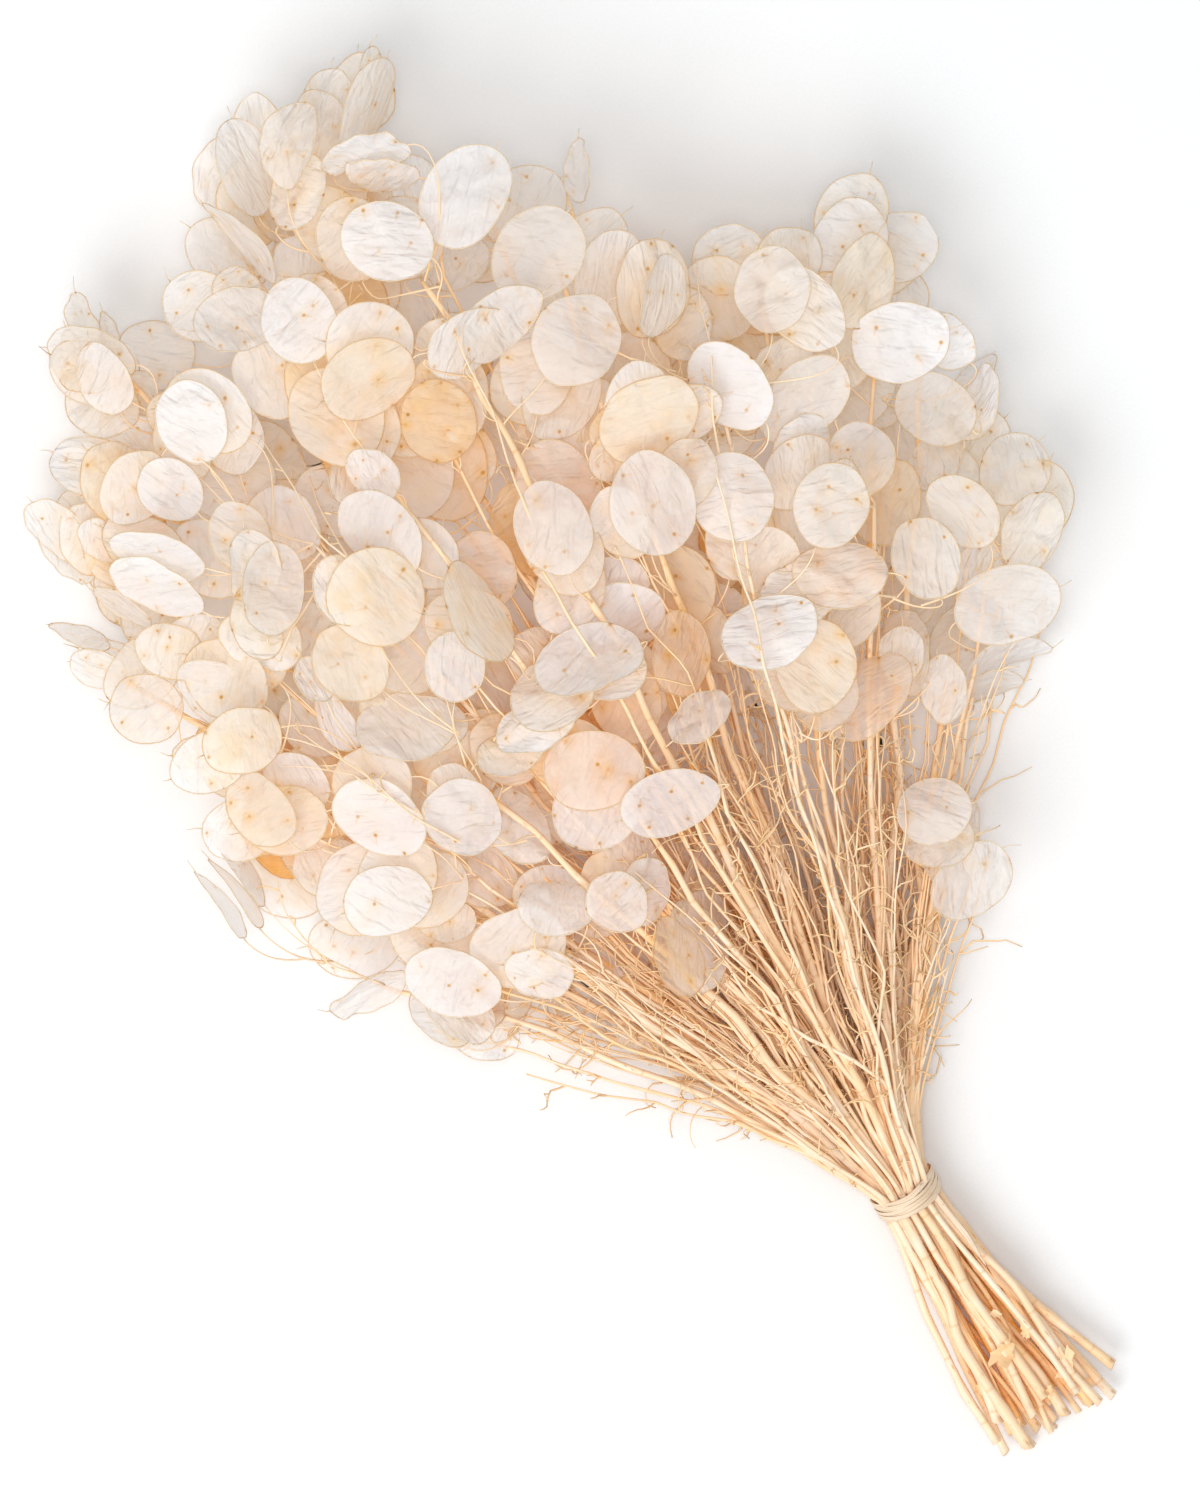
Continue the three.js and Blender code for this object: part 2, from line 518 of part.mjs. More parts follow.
// A pod and its stalk as one skin: the narrow base of the flat pod is the stalk's last ring.
function podSolid({ plate, path }, twist, scale) {
  const count = plate.outline.length;
  const half = plate.normal.clone().multiplyScalar(POD_THICK / 2);
  const points = [
    ...plate.outline.map((corner) => corner.clone().add(half)),
    ...plate.outline.map((corner) => corner.clone().sub(half)),
  ];
  const top = [...Array(count).keys()];
  const faces = [...fanFaces(top), ...fanFaces(top.map((i) => i + count)).map(([a, b, c]) => [a, c, b])];
  for (let i = 0; i + 1 < count; i++) {
    faces.push([i, i + count, i + 1 + count], [i, i + 1 + count, i + 1]);
  }
  let ring = [0, count - 1, 2 * count - 1, count];
  for (let k = path.length - 2; k >= 0; k--) {
    const run = path[k + 1].clone().sub(path[Math.max(k - 1, 0)]).normalize();
    const across = plate.across.clone().addScaledVector(run, -plate.across.dot(run)).normalize();
    const normal = run.clone().cross(across);
    const size = k === 0 ? STALK_ROOT_HALF * scale : STALK_HALF;
    if (k === 0) {
      across.applyAxisAngle(run, twist);
      normal.applyAxisAngle(run, twist);
    }
    const first = points.length;
    for (const [sideways, up] of [[-1, 1], [1, 1], [1, -1], [-1, -1]]) {
      points.push(path[k].clone().addScaledVector(across, sideways * size).addScaledVector(normal, up * size));
    }
    const next = [first, first + 1, first + 2, first + 3];
    for (let s = 0; s < 4; s++) {
      const t = (s + 1) % 4;
      faces.push([ring[s], ring[t], next[t]], [ring[s], next[t], next[s]]);
    }
    ring = next;
  }
  faces.push([ring[0], ring[1], ring[2]], [ring[0], ring[2], ring[3]]);
  return solidFrom(points, faces);
}

// The raffia round the waist: a flat band that dips towards the cut ends over the top, with a
// second turn standing a little proud of it and swaying across it.
function tieBand() {
  const points = [];
  const centreZ = (readOff(BED, 0) + readOff(CREST, 0)) / 2;
  const inner = (STEM_PITCH * 3 + STEM_RADIUS_WAIST * 1.06 + GAP) / Math.cos(Math.PI / TIE_SIDES);
  const half = TIE_WIDTH / 2;
  for (let i = 0; i < TIE_SIDES; i++) {
    const angle = (i / TIE_SIDES) * 2 * Math.PI;
    const rise = Math.sin(angle);
    const middle = 1 - (rise > 0 ? 6 : 2) * rise;
    const sway = TURN_SWAY * Math.sin(angle + 0.9);
    const proud = TIE_THICK + TURN_THICK + 0.4 * Math.max(0, Math.cos(angle));
    const profile = [
      [0, -half], [0, half], [TIE_THICK, half], [TIE_THICK, sway + TURN_WIDTH / 2 + 0.3],
      [proud, sway + TURN_WIDTH / 2], [proud, sway - TURN_WIDTH / 2],
      [TIE_THICK, sway - TURN_WIDTH / 2 - 0.3], [TIE_THICK, -half],
    ];
    for (const [out, y] of profile) {
      const reach = inner + out;
      points.push(vector(WAIST_X + reach * Math.cos(angle), middle + y, centreZ + reach * rise));
    }
  }
  return solidFrom(points, skinFaces(TIE_SIDES, 8, 0, true));
}

// The lowest height at which a crosswise bit of the tail clears every stem under it.
function restingHeight(x, y) {
  const need = TAIL_THICK / 2 + GAP;
  let z = TAIL_THICK;
  const clear = () => {
    const left = vector(x - TAIL_WIDTH / 2, y, z);
    const right = vector(x + TAIL_WIDTH / 2, y, z);
    return rods.every((rod) => rod.a.z < z - 3 || segmentGap(left, right, rod.a, rod.b) >= need + rod.radius);
  };
  while (!clear() || z < 14) z += 0.25;
  return z;
}

function tieTail(nudge) {
  const points = [];
  TAIL_PATH.forEach(([x, y], i) => {
    const taper = i + 1 === TAIL_PATH.length ? 0.5 : 1;
    const z = i === 0 ? readOff(CREST, 0) + nudge : restingHeight(x, y) + 0.4;
    const half = (TAIL_WIDTH / 2) * taper;
    for (const [sideways, up] of [[-1, -1], [1, -1], [1, 1], [-1, 1]]) {
      points.push(vector(x + sideways * half, y, z + (up * TAIL_THICK) / 2));
    }
  });
  const last = 4 * (TAIL_PATH.length - 1);
  const faces = skinFaces(TAIL_PATH.length, 4);
  faces.push([0, 2, 1], [0, 3, 2], [last, last + 1, last + 2], [last, last + 2, last + 3]);
  return solidFrom(points, faces);
}

function raffiaTie() {
  const band = { solid: tieBand(), slivers: 0 };
  return joinCleanly(band, (twist) => tieTail(twist)).solid;
}

function geometryOf(solid) {
  const mesh = solid.getMesh();
  const geometry = new THREE.BufferGeometry();
  geometry.setAttribute("position", new THREE.BufferAttribute(new Float32Array(mesh.vertProperties), 3));
  geometry.setIndex(new THREE.BufferAttribute(new Uint32Array(mesh.triVerts), 1));
  return geometry;
}

function addPiece(group, name, solid, finish) {
  const piece = new THREE.Mesh(geometryOf(solid), new THREE.MeshStandardMaterial(PLAIN[finish]));
  piece.name = name;
  group.add(piece);
}

function buildBunch() {
  THREE.MathUtils.seededRandom(SEED);
  const stems = layStems();
  growPods(stems);
  const group = new THREE.Group();
  for (const stem of stems) {
    let grown = { solid: stemSolid(stem), slivers: 0 };
    for (const pod of stem.pods) {
      grown = joinCleanly(grown, (twist, size) => podSolid(pod, twist, size));
    }
    addPiece(group, `stem_${String(stem.number + 1).padStart(2, "0")}`, grown.solid, "dried_honesty");
  }
  addPiece(group, "raffia_tie", raffiaTie(), "raffia");
  return group;
}

// The row's origin: the middle of the bunch's footprint, on the floor.
function settle(group) {
  const box = new THREE.Box3().setFromObject(group);
  const centre = box.getCenter(new THREE.Vector3());
  for (const piece of group.children) {
    piece.geometry.translate(-centre.x, -centre.y, -box.min.z);
    piece.geometry.computeVertexNormals();
  }
  return group;
}

export default settle(buildBunch());
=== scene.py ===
# %% [markdown]
# # A tied bunch of dried honesty
# Honesty is grown for its seed pods. When the seeds have dropped, each flat pod is left as a papery
# disc in a thin rim, so a dried bunch is a cloud of pale ovals on straw-coloured stems, tied with
# raffia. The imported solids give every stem, stalk and pod its place, each pod as a flat plate.
# This script reads those places back from the solids and grows finer pieces exactly there.

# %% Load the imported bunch
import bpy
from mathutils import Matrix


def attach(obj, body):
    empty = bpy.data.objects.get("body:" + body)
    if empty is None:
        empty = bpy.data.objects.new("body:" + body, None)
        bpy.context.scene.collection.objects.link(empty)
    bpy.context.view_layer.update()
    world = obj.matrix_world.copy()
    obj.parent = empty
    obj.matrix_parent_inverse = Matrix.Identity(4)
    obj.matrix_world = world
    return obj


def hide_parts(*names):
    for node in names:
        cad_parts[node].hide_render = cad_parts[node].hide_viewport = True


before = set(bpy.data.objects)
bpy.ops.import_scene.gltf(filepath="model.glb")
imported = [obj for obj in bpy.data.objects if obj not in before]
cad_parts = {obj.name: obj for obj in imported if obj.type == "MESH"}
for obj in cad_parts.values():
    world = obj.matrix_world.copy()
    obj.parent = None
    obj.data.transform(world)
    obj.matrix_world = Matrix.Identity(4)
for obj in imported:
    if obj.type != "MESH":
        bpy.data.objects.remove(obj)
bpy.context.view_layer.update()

import math
import random
import bpy
import numpy as np
from mathutils import Vector
from mathutils import noise as clouds
from mathutils.bvhtree import BVHTree

MM = 0.001

# %% [markdown]
# The bunch lies on a table and is looked at from straight above, leaning to the left. A long lens far
# up keeps the near pods from looking larger than the far ones. The script works in the layout's own
# millimetres, which count from the tie: X across the bunch, Y from the tie to the heads.

# %% Camera
ZERO = Vector((-10.535, -200.01, 0)) * MM  # the layout's zero, beside the middle of the tie
LEAN = math.radians(30)
MM_PER_PIXEL = 0.4
PICTURE = (1200, 1499)
ZERO_IN_PICTURE = (905, 1200)
CAMERA_DISTANCE = 4.0
SENSOR = 36  # millimetres, along the picture's longer side
SHARP_HEIGHT = 0.06  # the height at which a pixel is exactly MM_PER_PIXEL wide


def at(x, y, z=0.0):
    """A point of the layout, in millimetres, as a point of the frame, in metres."""
    return ZERO + Vector((x, y, z)) * MM


picture_right = Vector((math.cos(LEAN), -math.sin(LEAN), 0))
picture_up = Vector((math.sin(LEAN), math.cos(LEAN), 0))
aim = ZERO + picture_right * (PICTURE[0] / 2 - ZERO_IN_PICTURE[0]) * MM_PER_PIXEL * MM
aim += picture_up * (ZERO_IN_PICTURE[1] - PICTURE[1] / 2) * MM_PER_PIXEL * MM
camera = bpy.data.objects.new("camera", bpy.data.cameras.new("camera"))
camera.data.sensor_width = SENSOR
camera.data.lens = SENSOR * CAMERA_DISTANCE / (PICTURE[1] * MM_PER_PIXEL * MM)
camera.data.clip_end = 100
camera.location = aim + Vector((0, 0, SHARP_HEIGHT + CAMERA_DISTANCE))
camera.rotation_euler = (0, 0, -LEAN)
bpy.context.scene.collection.objects.link(camera)
bpy.context.scene.camera = camera
print("camera over", [round(c, 3) for c in camera.location], "lens", round(camera.data.lens))

# %% [markdown]
# Shaders are built from nodes, but a long chain of Math nodes is hard to read as code. Here a small
# class wraps one socket, so that a sum written on it adds the nodes that work the sum out.

# %% Sums on a socket


class Wire:
    """One output of a material's nodes. Arithmetic on it adds the nodes that work it out."""

    def __init__(self, finish, socket):
        self.finish, self.socket = finish, socket

    def sum(self, operation, first, second=None):
        values = [value for value in (first, second) if value is not None]
        if any(isinstance(value, Wire) and value.socket.type == "VECTOR" for value in values):
            values = [v if isinstance(v, (Wire, tuple)) else (v, v, v) for v in values]
            kind, output = "ShaderNodeVectorMath", "Vector"
        else:
            kind, output = "ShaderNodeMath", "Value"
        return self.finish.node(kind, {"operation": operation}, dict(enumerate(values)))[output]

    def __add__(self, other):
        return self.sum("ADD", self, other)

    def __radd__(self, other):
        return self.sum("ADD", other, self)

    def __sub__(self, other):
        return self.sum("SUBTRACT", self, other)

    def __rsub__(self, other):
        return self.sum("SUBTRACT", other, self)

    def __mul__(self, other):
        return self.sum("MULTIPLY", self, other)

    def __rmul__(self, other):
        return self.sum("MULTIPLY", other, self)

    def least(self, other):
        return self.sum("MINIMUM", self, other)

    def most(self, other):
        return self.sum("MAXIMUM", self, other)

    def size(self):
        return self.sum("ABSOLUTE", self)

    def fraction(self):
        return self.sum("FRACT", self)

    def steps(self, low, high):
        """0 below low, 1 above high, smooth between; low may be the greater."""
        settings = {"interpolation_type": "SMOOTHSTEP"}
        sockets = {"Value": self, "From Min": low, "From Max": high}
        return self.finish.node("ShaderNodeMapRange", settings, sockets)["Result"]


print("sums on sockets ready")

# %% [markdown]
# Every other node comes from one method, which takes the node's type, its settings, and a value or a
# link for each of its sockets. A few short methods name the nodes that all three finishes need. Paint
# charts give colours in steps from 0 to 255 as the eye sees them, and shaders want the light itself.

# %% Nodes of a finish


class Outputs:
    """The outputs of one node by name."""

    def __init__(self, finish, node):
        self.finish, self.made = finish, node

    def __getitem__(self, name):
        found = [socket for socket in self.made.outputs if socket.name == name and socket.enabled]
        return Wire(self.finish, found[0])


class Finish:
    """A material under construction."""

    def __init__(self, name):
        self.material = bpy.data.materials.new(name)
        self.material.use_nodes = True
        self.tree = self.material.node_tree
        self.tree.nodes.clear()

    def node(self, kind, settings=None, sockets=None):
        """Adds a node: its settings first, then a value or a link for each socket."""
        made = self.tree.nodes.new(kind)
        for name, value in (settings or {}).items():
            setattr(made, name, value)
        for name, value in (sockets or {}).items():
            if isinstance(name, int):
                socket = made.inputs[name]
            else:
                socket = next(s for s in made.inputs if s.name == name and s.enabled)
            if isinstance(value, Wire):
                self.tree.links.new(value.socket, socket)
            else:
                socket.default_value = (*value, 1) if socket.type == "RGBA" else value
        return Outputs(self, made)

    def mix(self, share, one, other):
        """The colour one, turned into the colour other by share."""
        sockets = {"Factor": share, "A": one, "B": other}
        return self.node("ShaderNodeMix", {"data_type": "RGBA"}, sockets)["Result"]

    def noise(self, place, scale, detail=2.0, twist=0.0):
        """Cloudy values round 0.5."""
        sockets = {"Vector": place, "Scale": scale, "Detail": detail, "Distortion": twist}
        return self.node("ShaderNodeTexNoise", {}, sockets)["Fac"]

    def attribute(self, name):
        return self.node("ShaderNodeAttribute", {"attribute_name": name})

    def bump(self, height, strength, distance):
        sockets = {"Height": height, "Strength": strength, "Distance": distance}
        return self.node("ShaderNodeBump", {}, sockets)["Normal"]

    def surface(self, shader):
        self.node("ShaderNodeOutputMaterial", {}, {"Surface": shader})
        return self.material


def srgb(*chart):
    """A colour as a paint chart gives it, 0 to 255, in the linear values that shaders take."""
    return tuple(((c / 255 + 0.055) / 1.055) ** 2.4 for c in chart)  # true for all but near-black tones


print("finish helpers ready")

# %% [markdown]
# The table is plain white paper: one wide square with a faint grain. It isn't part of the bunch.

# %% Table
FLOOR_HALF = 8.0
PAPER_TONES = (0.8, 0.805, 0.81), (0.82, 0.825, 0.83)
floor_mesh = bpy.data.meshes.new("table")
corners = [(-1, -1, 0), (1, -1, 0), (1, 1, 0), (-1, 1, 0)]
floor_mesh.from_pydata([Vector(corner) * FLOOR_HALF for corner in corners], [], [(0, 1, 2, 3)])
floor = bpy.data.objects.new("table", floor_mesh)
bpy.context.scene.collection.objects.link(floor)
white = Finish("white_paper")
paper_grain = white.noise(white.node("ShaderNodeTexCoord")["Object"], 900, 2)
sheet_tone = white.mix(paper_grain.steps(0.3, 0.7), *PAPER_TONES)
table_sockets = {"Base Color": sheet_tone, "Roughness": 0.9}
table_shader = white.node("ShaderNodeBsdfPrincipled", {}, table_sockets)["BSDF"]
floor_mesh.materials.append(white.surface(table_shader))
print("table:", 2 * FLOOR_HALF, "metres wide")

# %% [markdown]
# A broad soft lamp stands high up, out beyond the lower left of the picture, so the shadow falls
# softly to the upper right. A smaller one hangs straight above, over the camera, and reaches down into
# the gaps between the stems, which the first leaves dark. The rest of the light is even and slightly
# cool and comes from all round, which is the world's own colour. Straw in a heap is golden because
# its light has met much straw, so light may bounce off matt surfaces more often than usual.

# %% Lamps and world
LAMP_WAY = (picture_right * -0.38 + picture_up * -0.60 + Vector((0, 0, 1))).normalized()
LAMP_REACH, LAMP_SIZE, LAMP_WATTS = 6.0, 4.1, 205
FILL_HEIGHT, FILL_SIZE, FILL_WATTS = 4.5, 1.2, 54  # half a metre higher than the camera
SKY, SKY_STRENGTH = (0.965, 0.985, 1.0, 1), 0.6
DIFFUSE_BOUNCES = 8


def hang_lamp(name, place, size, watts):
    """A round soft lamp, which shines straight down until it is turned."""
    lamp = bpy.data.objects.new(name, bpy.data.lights.new(name, "AREA"))
    lamp.data.shape, lamp.data.size, lamp.data.energy = "DISK", size, watts
    lamp.location = place
    bpy.context.scene.collection.objects.link(lamp)
    print(name, "at", [round(c, 2) for c in place])
    return lamp


lamp = hang_lamp("soft_lamp", aim + LAMP_WAY * LAMP_REACH, LAMP_SIZE, LAMP_WATTS)
lamp.rotation_euler = (-LAMP_WAY).to_track_quat("-Z", "Y").to_euler()
hang_lamp("fill_lamp", aim + Vector((0, 0, FILL_HEIGHT)), FILL_SIZE, FILL_WATTS)
world = bpy.data.worlds.new("studio")
world.use_nodes = True
world.node_tree.nodes["Background"].inputs["Color"].default_value = SKY
world.node_tree.nodes["Background"].inputs["Strength"].default_value = SKY_STRENGTH
bpy.context.scene.world = world
bpy.context.scene.view_settings.view_transform = "Standard"
bpy.context.scene.cycles.diffuse_bounces = DIFFUSE_BOUNCES

# %% [markdown]
# Each packed stem is one solid: a five-sided stem, square stalks, and flat nine-cornered plates for
# pods. To grow finer pieces in the same places, the plates have to be found again. A plate's faces are
# triangles that share an edge and lie in one plane, so walking from triangle to triangle over edges
# that don't bend collects each flat patch. Large, compact patches are the pods' faces.

# %% Find the flat patches of a solid
LEAST_PATCH = 120 * MM * MM
COMPACT = 0.3  # the least area of a compact patch, as a share of its widest reach squared
LEVEL_WITHIN = 0.02 * MM  # a corner this near a plane lies in it


def welded(node):
    """The corners of a node's mesh and its triangles, with corners in one place counted once."""
    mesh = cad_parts[node].data
    number, places, faces = {}, [], []
    for face in mesh.polygons:
        corners = []
        for i in face.vertices:
            key = tuple(round(c * 1e6) for c in mesh.vertices[i].co)
            if key not in number:
                number[key] = len(places)
                places.append(mesh.vertices[i].co.copy())
            corners.append(number[key])
        if len(set(corners)) == 3:
            faces.append(corners)
    return places, faces


def flat_patches(places, faces):
    """Lists of triangles that lie in one plane and join over edges."""
    normals = []
    for a, b, c in faces:
        normals.append((places[b] - places[a]).cross(places[c] - places[a]))
    across = {}
    for f, corners in enumerate(faces):
        for i in range(3):
            across.setdefault(frozenset((corners[i], corners[i - 1])), []).append(f)
    seen, patches = set(), []
    for first in sorted(range(len(faces)), key=lambda f: -normals[f].length):
        if first in seen:
            continue
        way = normals[first].normalized()
        level = way.dot(places[faces[first][0]])
        patch, open_faces = [], [first]
        seen.add(first)
        while open_faces:
            f = open_faces.pop()
            patch.append(f)
            for i in range(3):
                for g in across[frozenset((faces[f][i], faces[f][i - 1]))]:
                    flat = all(abs(way.dot(places[c]) - level) < LEVEL_WITHIN for c in faces[g])
                    if g not in seen and flat and normals[g].dot(way) > 0:
                        seen.add(g)
                        open_faces.append(g)
        area = sum(normals[f].length for f in patch) / 2
        spread = [places[c] for f in patch for c in faces[f]]
        widest = max((p - spread[0]).length for p in spread)
        if area > LEAST_PATCH and area > COMPACT * widest * widest:
            patches.append((way, patch))
    return patches


solids = {name: welded(name) for name in sorted(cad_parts) if name.startswith("stem_")}
patches = {name: flat_patches(*solid) for name, solid in solids.items()}
print("pod faces found:", sum(len(found) for found in patches.values()))

# %% [markdown]
# A pod's stalk is a quadratic curve. Its bend point lies behind the pod's base in line with the pod,
# a set share of the straight distance away, as in the solid. So one ring of the stalk's corners is
# enough to work out where it starts, by solving a quadratic equation for that distance. It has two
# answers, and there are two kinds of stalk, so up to four starts are kept for a later comparison.

# %% Where a stalk may start
STALK_BEND = 0.42
LONG_STALK = 34 * MM  # a longer stalk's solid has one ring more
LAST_RINGS = ((0.42, False), (0.64, True))  # how far along the last ring is, and whether it is a long one
STALK_LENGTHS = (3 * MM, 90 * MM)


def stalk_roots(base, along, ring):
    """The places a stalk may start from, worked out from the pod's base and the ring next to it."""
    found = []
    for t, long in LAST_RINGS:
        reach = (ring - base) / (1 - t) ** 2
        bend = STALK_BEND * 2 * t / (1 - t)
        a, b, c = bend * bend - 1, 2 * bend * reach.dot(along), reach.length_squared
        under = b * b - 4 * a * c
        if under < 0:
            continue
        for sign in (-1, 1):
            length = (-b + sign * math.sqrt(under)) / (2 * a)
            if STALK_LENGTHS[0] < length < STALK_LENGTHS[1] and (length > LONG_STALK) == long:
                found.append(base + reach + along * bend * length)
    return found


print("stalks longer than", LONG_STALK / MM, "mm have a ring more")

# %% [markdown]
# Two flat faces that look opposite ways make one plate. Its shortest side is the narrow base, where
# the stalk arrives, and the corner furthest from the base is the tip. The plate's corners stand a
# little outside the pod's true oval, which its width has to allow for.

# %% Read the pods back from the solids
CORNER_SWELL = 1.05
BACK_WITHIN = 2 * MM  # the two faces of one plate are nearer each other than this
RING_WITHIN = 45 * MM  # corners joined to the base further off are the stem's


def outline_of(faces, patch):
    """The corners round a patch, in order."""
    after = {}
    for f in patch:
        for i in range(3):
            after.setdefault(faces[f][i - 1], []).append(faces[f][i])
    inner = {(a, b) for a, nexts in after.items() for b in nexts}
    border = {a: b for a, b in inner if (b, a) not in inner}
    loop = [next(iter(border))]
    while len(loop) <= len(border):
        following = border[loop[-1]]
        if following == loop[0]:
            break
        loop.append(following)
    return loop


def read_pods(places, faces, found):
    """One record for each plate of a solid."""
    near = {}
    for a, b, c in faces:
        for one, other in ((a, b), (b, c), (c, a)):
            near.setdefault(one, set()).add(other)
            near.setdefault(other, set()).add(one)
    loops = [(way, outline_of(faces, patch)) for way, patch in found]
    pods = []
    for i, (way, loop) in enumerate(loops):
        middle = sum((places[c] for c in loop), Vector()) / len(loop)
        for back_way, back in loops[i + 1:]:
            back_middle = sum((places[c] for c in back), Vector()) / len(back)
            if way.dot(back_way) < -0.99 and (middle - back_middle).length < BACK_WITHIN:
                break
        else:
            continue
        sides = [((places[loop[k]] - places[loop[k - 1]]).length, k) for k in range(len(loop))]
        k = min(sides)[1]
        half = (back_middle - middle).dot(way) * way / 2
        base = (places[loop[k]] + places[loop[k - 1]]) / 2 + half
        tip = max((places[c] + half for c in loop), key=lambda p: (p - base).length)
        along = (tip - base).normalized()
        across = way.cross(along)
        wide = 2 * max(abs((places[c] - base).dot(across)) for c in loop) / CORNER_SWELL
        own = set(loop) | set(back)
        root_side = {loop[k], loop[k - 1]}
        root_side |= {c for c in back if min((places[c] - places[d]).length for d in root_side) < 1.0 * MM}
        ring = {c for r in root_side for c in near[r]} - own
        ring = [places[c] for c in ring if (places[c] - base).length < RING_WITHIN]
        middle_of_ring = sum(ring, Vector()) / len(ring) if ring else base - along * 5 * MM
        pods.append({
            "base": base, "along": along, "across": across, "way": way,
            "long": (tip - base).length, "wide": wide, "roots": stalk_roots(base, along, middle_of_ring),
        })
    return pods


plants = {}
for name, (places, faces) in solids.items():
    plants[name] = {"pods": read_pods(places, faces, patches[name])}
print("pods read back:", sum(len(plant["pods"]) for plant in plants.values()))

# %% [markdown]
# A stem runs the length of the bunch, so a cut through its solid at one level gives a few small
# outlines: the stem's and those of any stalks beside it. Each is found by walking from one cut edge
# to the next. Its area and middle come from the corner points, as for any closed outline.

# %% Cut a solid at one level
LEAST_OUTLINE = 0.3 * MM * MM


def outlines_at(places, faces, level):
    """Middle and area of each closed outline where the solid is cut at one level of Y."""
    links, points = {}, {}
    for corners in faces:
        cut = []
        for i in range(3):
            a, b = sorted((corners[i], corners[i - 1]))
            low, high = places[a].y - level, places[b].y - level
            if low * high < 0:
                points[(a, b)] = places[a].lerp(places[b], low / (low - high))
                cut.append((a, b))
        if len(cut) == 2:
            links.setdefault(cut[0], []).append(cut[1])
            links.setdefault(cut[1], []).append(cut[0])
    found = []
    while links:
        loop = [next(iter(links))]
        while True:
            nexts = [edge for edge in links.pop(loop[-1], []) if edge in links]
            if not nexts:
                break
            loop.append(nexts[0])
        ring = [points[edge] for edge in loop]
        area, x, z = 0.0, 0.0, 0.0
        for p, q in zip(ring, ring[1:] + ring[:1]):
            part = p.x * q.z - q.x * p.z
            area, x, z = area + part / 2, x + (p.x + q.x) * part / 6, z + (p.z + q.z) * part / 6
        if abs(area) > LEAST_OUTLINE:
            found.append((Vector((x / area, level, z / area)), abs(area)))
    return found


print("outlines count from", round(LEAST_OUTLINE / MM / MM, 2), "square mm")

# %% [markdown]
# From one level to the next, the outline that continues the last one is the stem itself: it lies near
# the place that the stem points to and is about as large. Joining the middles of those outlines gives
# the line that a finer, rounder stem can follow. The stems' solids are five-sided, and the area of a
# pentagon gives the reach of its corners.

# %% Follow each stem through its solid
FIRST_SLICE, SLICE_STEP = 1 * MM, 8 * MM
FIRST_STALK_Y = 58  # nearer the tie than this a stem has no stalks
SIDEWAYS_MOST = 4.0 * MM
AREA_CHANGE = (0.6, 1.45)  # the next outline's area, as a share of the last one's
MOST_MISSED = 5  # after this many levels without an outline the stem has ended
PENTAGON = 2.378  # the area of a pentagon whose corners reach 1 from its middle


def follow_stem(places, faces):
    """The middle line of a stem from its cut end to its tip, with its thickness at each point."""
    low, high = min(p.y for p in places), max(p.y for p in places)
    faces = [(min(places[c].y for c in f), max(places[c].y for c in f), f) for f in faces]
    line, areas, missed, level = [], [], 0, low + FIRST_SLICE
    while level < high and missed < MOST_MISSED:
        near = [f for bottom, top, f in faces if bottom < level < top]
        loops = outlines_at(places, near, level)
        if len(line) > 1:
            run = (line[-1] - line[-2]) / (line[-1].y - line[-2].y)
            guess = line[-1] + run * (level - line[-1].y)
        else:
            guess = line[-1] + Vector((0, level - line[-1].y, 0)) if line else loops[0][0]
        if level > at(0, FIRST_STALK_Y).y:
            loops = [found for found in loops if (found[0] - guess).length < SIDEWAYS_MOST]
            loops = [found for found in loops if AREA_CHANGE[0] < found[1] / areas[-1] < AREA_CHANGE[1]]
        if loops:
            middle, area = min(loops, key=lambda found: (found[0] - guess).length)
            line.append(middle)
            areas.append(area)
            missed = 0
        else:
            missed += 1
        level += SLICE_STEP
    radii = []
    for i, area in enumerate(areas):
        run = (line[min(i + 1, len(line) - 1)] - line[max(i - 1, 0)]).normalized()
        radii.append(math.sqrt(area * abs(run.y) / PENTAGON))
    start = line[0] - (line[1] - line[0]) * (FIRST_SLICE / SLICE_STEP)
    return [start] + line[1:], radii


for name, (places, faces) in solids.items():
    plants[name]["line"], plants[name]["radii"] = follow_stem(places, faces)
lengths = [round((plant["line"][-1] - plant["line"][0]).length / MM) for plant in plants.values()]
print("stem lengths in mm:", lengths)

# %% [markdown]
# Now each stalk's start can be settled. Of the starts that fit its curve, the right one lies on the
# stem's line or on a stalk that is settled already, so the rounds begin with the surest and end by
# taking what is left to the nearest place on the stem.

# %% Join the stalks to their stems
ROUNDS = (1.0, 1.0, 1.0, 4.0, 90.0)  # how far off a start may be in each round, in millimetres
TOO_FAR = 4 * MM  # a start further off than this isn't trusted
STALK_GUESS = 18  # millimetres behind the pod's base, where its stem is looked for instead


def near_line(point, line):
    """The point of a line nearest to a point."""
    best = None
    for a, b in zip(line, line[1:]):
        t = max(0, min(1, (point - a).dot(b - a) / (b - a).length_squared))
        found = a.lerp(b, t)
        if best is None or (found - point).length < (best - point).length:
            best = found
    return best


def stalk_line(root, base, along, steps=9):
    """The curve of a stalk from its root to the base of its pod."""
    elbow = base - along * STALK_BEND * (root - base).length
    shares = [i / (steps - 1) for i in range(steps)]
    return [root * (1 - t) ** 2 + elbow * 2 * t * (1 - t) + base * t * t for t in shares]


